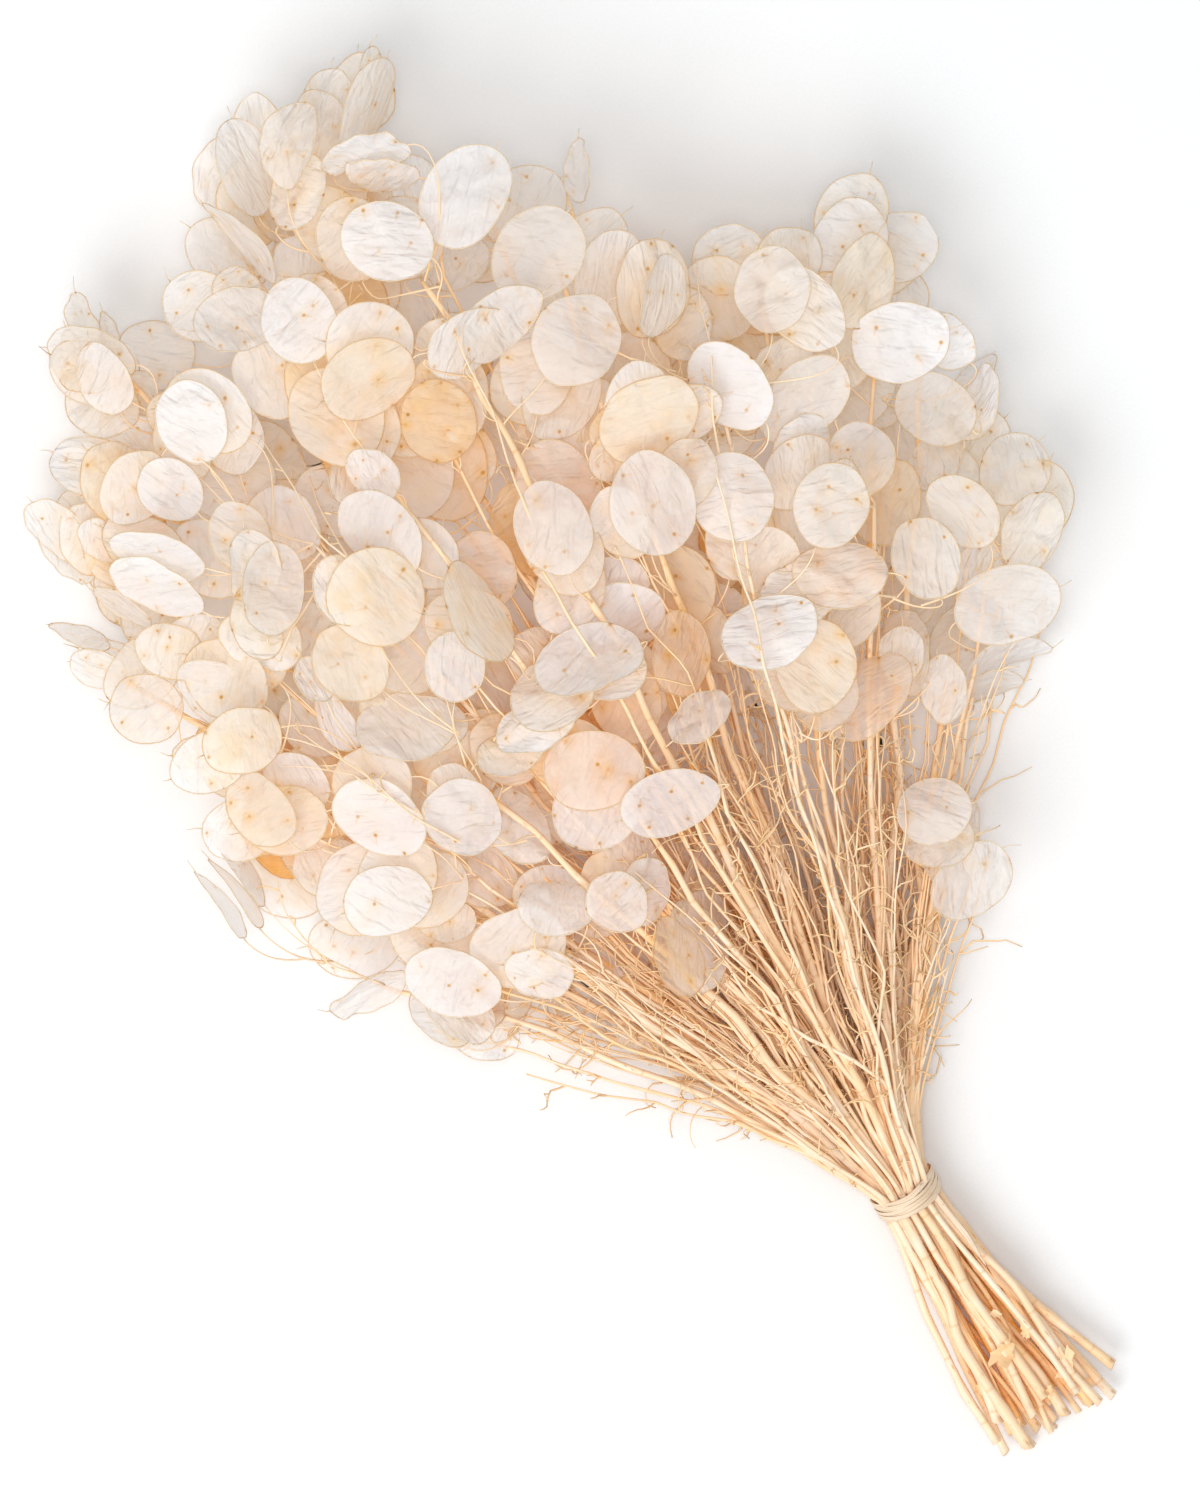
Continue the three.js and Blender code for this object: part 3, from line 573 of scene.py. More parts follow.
def root_stalks(plant):
    """Settles where each stalk starts: on the stem's own line, or on a stalk already settled."""
    lines, waiting = [plant["line"]], list(plant["pods"])
    for reach in ROUNDS:
        for pod in list(waiting):
            options = [(min((near_line(root, line) - root).length for line in lines), i, root)
                       for i, root in enumerate(pod["roots"])]
            gap, _, root = min(options, default=(1.0, 0, None))
            if gap < reach * MM or reach == ROUNDS[-1]:
                if gap > TOO_FAR:
                    root = near_line(pod["base"] - pod["along"] * STALK_GUESS * MM, plant["line"])
                pod["root"], pod["gap"] = root, gap
                pod["stalk"] = stalk_line(root, pod["base"], pod["along"])
                lines.append(pod["stalk"])
                waiting.remove(pod)


for plant in plants.values():
    root_stalks(plant)
sure = sum(pod["gap"] < 1 * MM for plant in plants.values() for pod in plant["pods"])
total = sum(len(plant["pods"]) for plant in plants.values())
print("stalks whose start is sure:", sure, "of", total)

# %% [markdown]
# A bunch has more pods than the solids hold: under the ones on top lie others, half hidden, that close
# the gaps. They are planned here as flat plates. A search tree of plates, as ray tracers use, says
# quickly whether a new plate would cut through one that is there. A few places stay open on purpose.

# %% Plates to plan with
OPEN_PLACES = [(-15, 322), (5, 330), (20, 405), (-5, 300), (95, 292), (115, 205), (90, 196), (150, 268),
               (-43, 184), (-16, 280), (60, 140), (35, 120), (20, 160), (60, 175), (-47, 443), (-82, 431),
               (-66, 408), (-100, 372), (-118, 345), (-30, 455), (-150, 318), (62, 380), (100, 400)]
OPEN_REACH = 16  # no extra pod's middle lies nearer an open place than this
PODS_FROM_Y = 118  # nearer the tie than this there are no extra pods
ABOVE_TABLE = 1.2 * MM
OVAL = [(-1, 0), (-0.72, 0.72), (0, 1), (0.72, 0.72), (1, 0), (0.72, -0.72), (0, -1), (-0.72, -0.72)]
chance = random.Random(515)


def plate_corners(pod, grow=1.0):
    """Eight points round a pod's outline."""
    middle = pod["base"] + pod["along"] * pod["long"] / 2
    half_long, half_wide = grow * pod["long"] / 2, grow * pod["wide"] / 2
    return [middle + pod["along"] * a * half_long + pod["across"] * b * half_wide for a, b in OVAL]


def tree_of(pods):
    """A search tree of flat plates for these pods."""
    corners = [corner for pod in pods for corner in plate_corners(pod)]
    return BVHTree.FromPolygons(corners, [tuple(range(8 * i, 8 * i + 8)) for i in range(len(pods))])


def inside_box(points, room):
    """Whether all points are above the table and this far inside the solids' box."""
    low, high = frame_low, frame_high
    level = all(low[i] + room < p[i] < high[i] - room for p in points for i in (0, 1))
    return level and all(ABOVE_TABLE < p.z < high[2] - room for p in points)


def pod_at(middle, along, across, root):
    """The record of an extra pod that lies this way round a middle."""
    along = along.normalized()
    across = (across - along * across.dot(along)).normalized()
    long = chance.uniform(28, 40) * MM
    return {"base": middle - along * long / 2, "along": along, "across": across, "way": along.cross(across),
            "long": long, "wide": long * chance.uniform(0.72, 0.92), "root": root, "extra": True}


print("places held open:", len(OPEN_PLACES))

# %% [markdown]
# There are two sources of extra pods. Some nestle under one that is there, a few millimetres lower and
# turned a little, because pods on one branch grow that way. The rest lie low down, wherever a look
# from above still finds a gap with pods all round it. Both are asked in the same way, with the tree of
# the plates so far, though only the second needs it.

# %% Two sources of extra pods
GAP_REACH = 24 * MM  # how far round a gap pods are looked for
STALK_REACH = 32  # millimetres behind its middle, where a low pod's stem is looked for


def nestled(_tree):
    """A pod under another, shifted, turned and tipped a little, and the plant it grows on."""
    i = chance.randrange(len(all_pods))
    host = all_pods[i]
    down = -1 if host["way"].z > 0 else 1
    shift = chance.uniform(0, 2 * math.pi)
    reach = chance.uniform(7, 18) * MM
    middle = host["base"] + host["along"] * host["long"] / 2
    middle += host["way"] * down * chance.uniform(2.5, 7) * MM
    middle += (host["along"] * math.cos(shift) + host["across"] * math.sin(shift)) * reach
    turn = chance.gauss(0, 0.55)
    along = host["along"] * math.cos(turn) + host["across"] * math.sin(turn)
    along += host["way"] * chance.gauss(0, 0.1)
    across = host["way"].cross(along).normalized() + host["way"] * chance.gauss(0, 0.12)
    return pod_at(middle, along, across, host["stalk"][2]), owners[i]


def top_at(tree, x, y):
    """The highest plate at a spot, or None where none is."""
    return tree.ray_cast(Vector((x, y, 1)), Vector((0, 0, -1)))[0]


def filling(tree):
    """A low pod in a gap that has pods all round, and the plant whose stem is nearest, or None."""
    x = chance.uniform(frame_low[0], frame_high[0])
    y = chance.uniform(at(0, PODS_FROM_Y).y, frame_high[1])
    if top_at(tree, x, y):
        return None
    turns = [math.radians(60 * k) for k in range(6)]
    around = [top_at(tree, x + GAP_REACH * math.cos(a), y + GAP_REACH * math.sin(a)) for a in turns]
    around = [hit.z for hit in around if hit]
    if len(around) < 5:
        return None
    middle = Vector((x, y, max(5 * MM, sum(around) / len(around) * chance.uniform(0.25, 0.7))))
    out = (middle - ZERO).normalized()
    turn = chance.gauss(0, 0.7)
    c, s = math.cos(turn), math.sin(turn)
    along = Vector((out.x * c - out.y * s, out.x * s + out.y * c, 0))
    across = Vector((-along.y, along.x, chance.gauss(0, 0.22)))
    along.z = chance.gauss(0, 0.12)
    behind = middle - along * STALK_REACH * MM
    plant = min(plants.values(), key=lambda plant: (near_line(behind, plant["line"]) - behind).length)
    return pod_at(middle, along, across, near_line(behind, plant["line"])), plant


print("a gap has pods within", round(GAP_REACH / MM), "mm on at least 5 of 6 sides")

# %% [markdown]
# Each plate that a source proposes is tried, a little larger than it will be. It is kept only if it
# cuts through no other, lies inside the solids' box and leaves the open places open.

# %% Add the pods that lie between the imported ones
NESTLED_PODS, NESTLED_TRIES = 150, 2500
FILLING_PODS, FILLING_TRIES = 80, 6000


def add_extra(wanted, most_tries, source):
    """Adds pods from a source, each where it cuts through no other. Gives how many it added."""
    tree, added = tree_of(all_pods), 0
    for _ in range(most_tries):
        found = source(tree)
        if found is None:
            continue
        pod, plant = found
        corners = plate_corners(pod)
        middle = sum(corners, Vector()) / 8
        held_open = any((middle.xy - at(x, y).xy).length < OPEN_REACH * MM for x, y in OPEN_PLACES)
        if held_open or not inside_box(corners, 2 * MM) or middle.y < at(0, PODS_FROM_Y).y:
            continue
        if tree.overlap(BVHTree.FromPolygons(plate_corners(pod, 1.04), [tuple(range(8))])):
            continue
        pod["stalk"] = stalk_line(pod["root"], pod["base"], pod["along"])
        plant["pods"].append(pod)
        all_pods.append(pod)
        owners.append(plant)
        added += 1
        tree = tree_of(all_pods)
        if added == wanted:
            break
    return added


frame_low = [min(p[i] for solid in solids.values() for p in solid[0]) for i in range(3)]
frame_high = [max(p[i] for solid in solids.values() for p in solid[0]) for i in range(3)]
all_pods = [pod for plant in plants.values() for pod in plant["pods"]]
owners = [plant for plant in plants.values() for pod in plant["pods"]]
print("pods nestled under others:", add_extra(NESTLED_PODS, NESTLED_TRIES, nestled))
print("pods in gaps:", add_extra(FILLING_PODS, FILLING_TRIES, filling))

# %% [markdown]
# Light that reaches the inside of a bunch has passed over so much straw that it turns golden. That
# light and the shade are painted into the stems' colour, so each corner of a stem will carry a note of
# how deep it lies, which is how many solids and plates a ray meets that goes straight up from it.

# %% How deep a place lies
DEEPEST = 5  # solids above a point, from which on it is as golden as it gets


def tree_of_solids():
    """A search tree of all the stems' solids."""
    corners, all_faces = [], []
    for places, faces in solids.values():
        all_faces.extend([c + len(corners) for c in face] for face in faces)
        corners.extend(places)
    return BVHTree.FromPolygons(corners, all_faces)


heap, plates = tree_of_solids(), tree_of(all_pods)


def cover_over(tree, point, gap, most):
    """How many faces of a tree lie straight above a point."""
    count, start = 0, point + Vector((0, 0, gap))
    while count < most:
        hit = tree.ray_cast(start, Vector((0, 0, 1)))[0]
        if hit is None:
            break
        count, start = count + 1, hit + Vector((0, 0, 0.3 * MM))
    return count


def depth_at(point):
    """0 for a point in the open, 1 for one deep in the bunch."""
    solids_over = cover_over(heap, point, 2.4 * MM, 2 * DEEPEST) / 2
    return min(1.0, (solids_over + 0.5 * cover_over(plates, point, 1 * MM, 4)) / DEEPEST)


print("depth of the table under the tie:", depth_at(at(0, 0)))

# %% [markdown]
# All pieces are plain meshes that are written corner by corner. A small collector keeps the corners,
# the faces, and two notes for the material at each corner: "place", where on the piece it is, and
# "draw", four numbers that vary from one pod or stem to the next.

# %% Collect the parts of a piece
EDGE = 0.1 * MM  # nothing reaches nearer the sides of the solids' box than this


class Skin:
    """Collects the parts of one piece."""

    def __init__(self):
        self.corners, self.faces, self.marks, self.draws = [], [], [], []
        self.count = 0

    def add(self, corners, faces, marks, draws):
        self.corners.append(np.asarray(corners, float))
        self.faces.extend(tuple(i + self.count for i in face) for face in faces)
        self.marks.append(np.asarray(marks, float))
        self.draws.append(np.broadcast_to(np.asarray(draws, float), (len(corners), 4)))
        self.count += len(corners)

    def piece(self, name, material, slot, *nodes):
        """Makes the object, on the one body, standing for these nodes."""
        mesh = bpy.data.meshes.new(name)
        low, high = np.array(frame_low) + EDGE, np.array(frame_high) - EDGE
        mesh.from_pydata(np.clip(np.concatenate(self.corners), low, high).tolist(), [], self.faces)
        mesh.attributes.new("place", "FLOAT_VECTOR", "POINT").data.foreach_set(
            "vector", np.concatenate(self.marks).ravel())
        mesh.attributes.new("draw", "FLOAT_COLOR", "POINT").data.foreach_set(
            "color", np.concatenate(self.draws).ravel())
        mesh.polygons.foreach_set("use_smooth", [True] * len(mesh.polygons))
        mesh.materials.append(material)
        made = bpy.data.objects.new(name, mesh)
        bpy.context.scene.collection.objects.link(made)
        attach(made, "root")
        if nodes:
            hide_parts(*nodes)
        return made


print("nothing comes nearer the sides of the box than", EDGE / MM, "mm")

# %% [markdown]
# A stem, a twig or a strip of raffia is a tube: rings of corners carried along a line. Each ring is
# turned as little as possible from the one before, so that the tube's ribs don't twist round it.

# %% Tubes along lines


def frames_along(line):
    """For each point of a line: its run and two directions square to it, carried without twist."""
    runs = [(line[min(i + 1, len(line) - 1)] - line[max(i - 1, 0)]).normalized() for i in range(len(line))]
    side = runs[0].orthogonal().normalized()
    frames = []
    for run in runs:
        side = (side - run * side.dot(run)).normalized()
        frames.append((run, side, run.cross(side)))
    return frames


def tube(skin, line, radii, sides, draw, squash=1.0, caps=(True, True), frames=None, slant=0.0, deep=False):
    """A round tube along a line. Its marks are the tube laid straight: across, up, and length along."""
    ring = [(math.cos(a), math.sin(a)) for a in (2 * math.pi * k / sides for k in range(sides))]
    corners, marks, draws, length = [], [], [], 0.0
    frames = frames or frames_along(line)
    for i, (point, radius) in enumerate(zip(line, radii)):
        length += (point - line[i - 1]).length if i else 0
        run, side, up = frames[i]
        point_draw = (*draw[:3], depth_at(point)) if deep else draw
        for c, s in ring:
            cut = run * (slant * c * radius) if i == 0 else Vector()
            corners.append(point + cut + side * (c * radius) + up * (s * radius * squash))
            marks.append((c * radius, s * radius, length))
            draws.append(point_draw)
    faces = []
    for r in range(len(line) - 1):
        for k in range(sides):
            low, next_low = r * sides + k, r * sides + (k + 1) % sides
            faces.append((low, next_low, next_low + sides, low + sides))
    if caps[0]:
        faces.append(tuple(range(sides - 1, -1, -1)))
    if caps[1]:
        faces.append(tuple(range((len(line) - 1) * sides, len(line) * sides)))
    skin.add(corners, faces, marks, draws)


def resampled(line, step):
    """The same line with points an even step apart."""
    lengths = [0.0]
    for a, b in zip(line, line[1:]):
        lengths.append(lengths[-1] + (b - a).length)
    count = max(2, round(lengths[-1] / step))
    found, k = [], 0
    for i in range(count + 1):
        want = lengths[-1] * i / count
        while k < len(line) - 2 and lengths[k + 1] < want:
            k += 1
        share = (want - lengths[k]) / max(lengths[k + 1] - lengths[k], 1e-9)
        found.append(line[k].lerp(line[k + 1], share))
    return found


def tapered(thick, line, bumps, taper, swell):
    """The radii of a tube that grows thinner along its line and swells where the bumps are."""
    return [thick * (1 - taper * k / len(line)) * (1 + swell * bumps[k]) for k in range(len(line))]


print("tube helpers ready")

# %% [markdown]
# A fresh honesty pod is two green valves over a papery wall; the dried one is that wall alone, a thin
# oval sheet held in a wiry rim with a beak at its tip. Paper that dries in a rim puckers: it bows and
# twists a little as a whole, folds run across it, and the rim pulls short waves into its edge. A cloth
# simulation could do this once, but hundreds of pods would take too long, so each gets its own draw of
# these waves instead, as heights off the flat.

# %% The folds of a papery pod
FOLD = 1.45 * MM
CRISPNESS = (0.5, 0.8, 1.0, 1.2, 1.7)
FOLD_SIZE, CREASE_SIZE = (22, 8), (11, 6)  # millimetres, along a fold and across it


def sheet_heights(pod, draws):
    """A function of place on the pod, from -1 to 1 both ways, that gives its height off the flat."""
    bow, dish, twist = draws.gauss(0, 0.055), draws.gauss(0, 0.05), draws.gauss(0, 0.04)
    crisp = draws.choice(CRISPNESS) * (0.4 + 0.6 * abs(pod["way"].z))
    turn, start = draws.uniform(0, math.pi), Vector([draws.uniform(0, 900) for _ in range(3)])
    puckers = [(draws.randint(4, 10), draws.uniform(0, 6.3), draws.uniform(0.1, 0.42) * MM * crisp)
               for _ in range(3)]

    def height(u, v):
        out = math.hypot(u, v)
        angle = math.atan2(v, u)
        h = bow * pod["wide"] * (v * v - 0.3) + dish * pod["long"] * (u * u - 0.3)
        h += twist * pod["long"] * u * v
        x, y = u * pod["long"] / 2 / MM, v * pod["wide"] / 2 / MM
        run = x * math.cos(turn) + y * math.sin(turn)
        over = y * math.cos(turn) - x * math.sin(turn)
        fold = clouds.noise(start + Vector((run / FOLD_SIZE[0], over / FOLD_SIZE[1], 0)))
        crease = abs(clouds.noise(start + Vector((run / CREASE_SIZE[0], over / CREASE_SIZE[1], 7))))
        h += FOLD * crisp * (1.5 * fold - 1.3 * crease) * (1 - 0.5 * out ** 4)
        for count, phase, size in puckers:
            h += size * math.sin(count * angle + phase) * out ** 2.2
        return h

    return height


def pod_outline(draws):
    """A function of angle that gives the place on the rim, an egg with slight unevenness."""
    egg = draws.gauss(0.02, 0.035)
    waves = [(k, draws.uniform(0, 6.3), draws.uniform(0.002, 0.017)) for k in (2, 3, 4, 6)]

    def edge(angle):
        swell = 1 + sum(size * math.sin(k * angle + start) for k, start, size in waves)
        u, v = -math.cos(angle), math.sin(angle)
        return u * swell, v * swell * (1 + egg * u)

    return edge


print("height of the folds of a pod of middling crispness:", round(FOLD / MM, 2), "mm")

# %% [markdown]
# A pod is rings of corners round an oval, lifted by those heights, with a thin three-sided wire for
# its rim and a short beak. Pods that others hide get fewer corners.

# %% A papery pod
FINE_SHEET = (36, (0.22, 0.42, 0.6, 0.76, 0.9, 1.0))  # corners round a ring, and where the rings lie
PLAIN_SHEET = (26, (0.34, 0.66, 0.88, 1.0))
RIM = 0.27 * MM
RIM_TURNS = (0.5, 2.6, 4.7)  # where the rim's three corners stand round it, in radians
BEAK, SHORT_BEAK = 6 * MM, 1.5 * MM


def add_pod(skin, pod, draws):
    """One sheet with its rim and its beak."""
    height, edge = sheet_heights(pod, draws), pod_outline(draws)
    corners_round, rings = PLAIN_SHEET if pod["cover"] > 2 else FINE_SHEET
    middle = pod["base"] + pod["along"] * pod["long"] / 2
    at_base = height(*edge(0))
    thin, chance_draw = min(1.0, 0.65 * draws.random() + pod["alone"]), draws.random()

    def place(u, v):
        lift = height(u, v) - at_base * (1 - u) / 2
        flat = middle + pod["along"] * (u * pod["long"] / 2) + pod["across"] * (v * pod["wide"] / 2)
        return flat + pod["way"] * lift

    def draw_at(u, v):
        middle_warmth, along_warmth, across_warmth = pod["warmth"]
        warmth = max(0.0, min(1.0, middle_warmth + along_warmth * u + across_warmth * v))
        return thin, chance_draw, warmth, pod["blush"]

    corners, marks, tints, faces = [place(0, 0)], [(0, 0, 0)], [draw_at(0, 0)], []
    edges = [edge(2 * math.pi * k / corners_round) for k in range(corners_round)]
    for ring, out in enumerate(rings):
        first = 1 + ring * corners_round
        for k, (u, v) in enumerate(edges):
            following = (k + 1) % corners_round
            corners.append(place(u * out, v * out))
            marks.append((u * out, v * out, 0))
            tints.append(draw_at(u * out, v * out))
            if ring == 0:
                faces.append((0, first + k, first + following))
            else:
                inner = first - corners_round
                faces.append((inner + k, first + k, first + following, inner + following))
    skin.add(corners, faces, marks, tints)
    rim, rim_marks, rim_tints, rim_faces = [], [], [], []
    for k, (u, v) in enumerate(edges):
        outward = (pod["along"] * u / pod["long"] + pod["across"] * v / pod["wide"]).normalized()
        for a in RIM_TURNS:
            off = corners[k - corners_round] + outward * (RIM * math.cos(a))
            rim.append(off + pod["way"] * (RIM * math.sin(a)))
            rim_marks.append((u, v, 1))
            rim_tints.append(draw_at(u, v))
        for s in range(3):
            over = 3 * ((k + 1) % corners_round)
            rim_faces.append((3 * k + s, over + s, over + (s + 1) % 3, 3 * k + (s + 1) % 3))
    skin.add(rim, rim_faces, rim_marks, rim_tints)
    tip = place(*edge(math.pi))
    lean = pod["across"] * draws.gauss(0, 0.25) + pod["way"] * draws.gauss(0, 0.25)
    reach = BEAK * draws.uniform(0.6, 1.1)
    if not inside_box([tip + (pod["along"] + lean) * reach], EDGE):
        reach = SHORT_BEAK
    beak = [tip, tip + (pod["along"] + lean * 0.4) * reach * 0.4, tip + (pod["along"] + lean) * reach]
    tube(skin, beak, [0.3 * MM, 0.22 * MM, 0.1 * MM], 3, draw_at(1, 0))
    skin.marks[-1] = np.tile((0.0, 0.0, 1.0), (len(skin.corners[-1]), 1))


for corners_round, rings in (FINE_SHEET, PLAIN_SHEET):
    print("pod sheet:", corners_round * (2 * len(rings) - 1), "triangles, rim:", corners_round * 6)

# %% [markdown]
# Pods on top are a cool white. The deeper a pod lies, the more cream and then gold it is painted: this is
# painted shade and painted golden light, standing for the light that has come through its neighbours.
# Counting the plates straight above a pod's middle, its ends and its sides gives its depth and which side
# of it is deeper, and that side is painted warmer. Where few other pods lie round about, the painted
# warmth is weaker and the pods stay pale. A few stand out by their own tint.

# %% How warm each pod's colour is
TINTS = {  # warmth and blush
    "white": (0.0, 0.0), "blush": (0.3, 1.0), "peach": (0.6, 0.6), "cream": (0.4, 0.0),
    "gold": (0.62, 0.0), "deep": (0.8, 0.1), "grey": (0.04, 0.0),
}
# painted shade and painted golden light: how warm a pod is painted for the number of pods above it
PAINTED_SHADE_WARMTHS = (0.04, 0.4, 0.78, 1.05, 1.2, 1.3, 1.3)  # by the number of pods above
FULL_CROWD = 30  # pods within the crowd's reach where the bunch is at its thickest
CROWD_REACH = 42 * MM
COVER_SPOTS = ((0, 0), (-0.7, 0), (0.7, 0), (0, -0.7), (0, 0.7))  # middle, back, front, left, right
TINT_WITHIN = 3 * MM
TINTED = {  # the pods that stand out, by the place of their middle
    "white": [(-2, 249), (16, 257), (-2, 185), (-76, 221), (-78, 263), (-62, 172), (-49, 274), (12, 302),
              (-48, 334), (57, 362), (48, 434), (61, 399), (-91, 411), (-55, 437), (-34, 424), (51, 291),
              (170, 298), (135, 341), (101, 316), (66, 224), (12, 434), (88, 129)],
    "blush": [(88, 182), (102, 230), (-22, 211), (-20, 302), (23, 317)],
    "peach": [(3, 229), (31, 234), (-30, 130), (-15, 345)],
    "cream": [(-144, 264), (-137, 291), (-84, 296), (-62, 313), (-30, 288), (-22, 390), (-40, 384),
              (168, 327), (66, 320), (75, 203)],
    "gold": [(-6, 362), (41, 257), (133, 246), (149, 326)],
    "deep": [(-10, 422), (2, 308), (27, 220)],
    "grey": [(-117, 154), (-113, 166), (87, 97), (155, 186), (188, 333), (186, 291), (169, 268),
             (-165, 249), (131, 159)],
}
for pod in all_pods:
    pod["middle"] = pod["base"] + pod["along"] * pod["long"] / 2
for pod in all_pods:
    covers = []
    for u, v in COVER_SPOTS:
        point = pod["middle"] + pod["along"] * (u * pod["long"] / 2)
        point += pod["across"] * (v * pod["wide"] / 2)
        covers.append(cover_over(plates, point, 1 * MM, 6))
    pod["cover"] = covers[0]
    crowd = sum((pod["middle"].xy - other["middle"].xy).length < CROWD_REACH for other in all_pods)
    crowd = min(1.0, crowd / FULL_CROWD)
    # A pod with few neighbours counts as thin: it is clearer, and its colour is painted greyer for the
    # shaded table seen through it.
    pod["alone"] = 0.7 * (1 - crowd)
    # Painted shade: more pods above and a thicker crowd round about paint a pod warmer.
    middle, back, front, left, right = [PAINTED_SHADE_WARMTHS[cover] * (0.55 + 0.55 * crowd) for cover in covers]
    own = chance.uniform(-0.06, 0.16)
    middle = (2 * middle + back + front + left + right) / 6
    # Painted shade: the warmth leans towards the side of the pod that lies deeper.
    pod["warmth"] = (middle + own, 0.4 * (front - back), 0.4 * (right - left))
    pod["blush"] = 0.35 * max(0.0, chance.gauss(0, 0.5))
    if not pod.get("extra"):
        for name, places in TINTED.items():
            if any((pod["middle"].xy - at(x, y).xy).length < TINT_WITHIN for x, y in places):
                warmth, pod["blush"] = TINTS[name]
                pod["warmth"] = (warmth, 0.1 * (front - back), 0.1 * (right - left))
mean_warmth = sum(pod["warmth"][0] for pod in all_pods) / len(all_pods)
print("warmth of the pods, mean:", round(mean_warmth, 2))

# %% [markdown]
# A dried stem isn't a straight rod. It bends a little at each joint where a branch left it, and swells
# there. So small sideways shifts that change direction only at the joints are added to the line from
# the solid, none of them inside the tie. Bending a line before its tube is made is simpler than
# bending the finished mesh, because the rings then stay round.

# %% The bends of a stem
STEM_STEP = 6 * MM
TIE_CALM = (8 * MM, 46 * MM)  # off the tie's middle: where bends begin, and where they are full
JOINT_REACH = 2.5 * MM  # a joint swells this far to both sides


def calm_near_tie(y):
    """0 inside the tie, 1 well away from it."""
    off = (abs(y - ZERO.y) - TIE_CALM[0]) / (TIE_CALM[1] - TIE_CALM[0])
    off = max(0.0, min(1.0, off))
    return off * off * (3 - 2 * off)


def kinked(line, draws, sway, spacing):
    """The line with the slight bends of a real stem, and a number from 0 to 1 that peaks at joints."""
    joints, shift, length = [(0.0, Vector())], Vector(), 0.0
    total = sum((b - a).length for a, b in zip(line, line[1:]))
    while length < total:
        length += spacing * draws.uniform(0.6, 1.5)
        shift = Vector((draws.gauss(0, sway), 0, draws.gauss(0, sway * 0.7)))
        joints.append((length, shift))
    found, swells, length, k = [], [], 0.0, 0
    for i, point in enumerate(line):
        length += (point - line[i - 1]).length if i else 0
        while k < len(joints) - 2 and joints[k + 1][0] < length:
            k += 1
        (a, before), (b, after) = joints[k], joints[k + 1]
        share = max(0.0, min(1.0, (length - a) / (b - a)))
        bent = before.lerp(after, share) * calm_near_tie(point.y)
        found.append(point + bent)
        swell = max(0.0, 1 - min(length - a, b - length) / JOINT_REACH)
        swells.append(swell if a > 0 or share > 0.5 else 0.0)
    return found, swells


def kept_inside(point, room):
    """The point, moved back inside the solids' box if it has strayed."""
    return Vector([max(frame_low[i] + room, min(frame_high[i] - room, point[i])) for i in range(3)])


print("stems bend fully from", round(TIE_CALM[1] / MM), "mm off the middle of the tie")

# %% [markdown]
# Thinner companions leave the tie beside each stem and fill the fan under it. Side branches leave it
# at a narrow angle and run on into the heads. Both are cut back to the last place that has a pod above
# it, where there is one, so that they don't end in plain view.

# %% Side branches and companions
COMPANION_SINKS_OVER = 110 * MM


def branch_line(stem, start, draws, reach, angle):
    """A branch that leaves a stem at a narrow angle, then runs alongside it."""
    run = (stem[start + 1] - stem[start]).normalized()
    side = Vector((draws.gauss(0, 1), 0, draws.gauss(0, 0.55)))
    side = (side - run * side.dot(run)).normalized()
    along = [stem[start]]
    steps = max(4, round(reach / STEM_STEP))
    for k in range(1, steps + 1):
        i = min(start + k, len(stem) - 1)
        on = stem[i] + run * (max(0, start + k - i) * STEM_STEP)
        away = angle * steps * STEM_STEP * (k / steps) ** 1.15
        along.append(kept_inside(on + side * away, 3 * MM))
    return along


def companion_line(stem, start, draws):
    """A second stem that leaves the tie beside this one and spreads to one side of it, sinking a little."""
    spread = draws.choice((-1, 1)) * draws.uniform(0.02, 0.085)
    floor_height, sinking = draws.uniform(3, 14) * MM, draws.uniform(-0.15, 0.25)
    end = start + max(12, round((len(stem) - start) * draws.uniform(0.5, 0.96)))
    along = []
    for i, point in enumerate(stem[start:end]):
        far = i * STEM_STEP
        share = min(1.0, far / COMPANION_SINKS_OVER) * sinking
        height = point.z * (1 - share) + min(point.z, floor_height) * share
        along.append(kept_inside(Vector((point.x + spread * far, point.y, height)), 2.5 * MM))
    return along


def ended_below(line):
    """The line, cut back to the last place where a pod lies over it, if there is one."""
    for k in range(len(line) - 1, 5, -1):
        if cover_over(plates, line[k], 0, 1):
            return line[:k + 1]
    return line


print("companions sink over", round(COMPANION_SINKS_OVER / MM), "mm")

# %% [markdown]
# The broken stalks of lost pods stay on stems and branches as twigs. Some curl evenly and some are
# crooked, with a sharp turn at each knot. A twig may carry a smaller one, which calls for a function
# that calls itself.

# %% Twigs
CURL_STEPS = 6
CROOKED_SHARE = 0.65
TWIG_HALF = (0.38, 0.6)  # millimetres


def curl(root, run, draws, reach, bend):
    """A short twig that curls away from where it grows."""
    side = Vector([draws.gauss(0, 1) for _ in range(3)])
    side = (side - run * side.dot(run)).normalized()
    way = (run * draws.uniform(0.2, 0.9) + side).normalized()
    turn = Vector([draws.gauss(0, 1) for _ in range(3)]).normalized() * bend
    line = [root]
    for _ in range(CURL_STEPS):
        line.append(kept_inside(line[-1] + way * reach / CURL_STEPS, 2 * MM))
        way = (way + way.cross(turn) / CURL_STEPS + run * 0.1).normalized()
    return line


def crooked(root, run, draws, reach):
    """A brittle twig that changes direction sharply at each of its knots."""
    side = Vector([draws.gauss(0, 1) for _ in range(3)])
    side = (side - run * side.dot(run)).normalized()
    way = (run * draws.uniform(0.4, 1.2) + side * 0.7).normalized()
    line, steps = [root], draws.randint(3, 6)
    for _ in range(steps):
        far = reach / steps * draws.uniform(0.5, 1.4)
        line.append(kept_inside(line[-1] + way * far, 2 * MM))
        way = (way + Vector([draws.gauss(0, 0.62) for _ in range(3)]) + run * 0.15).normalized()
    return line


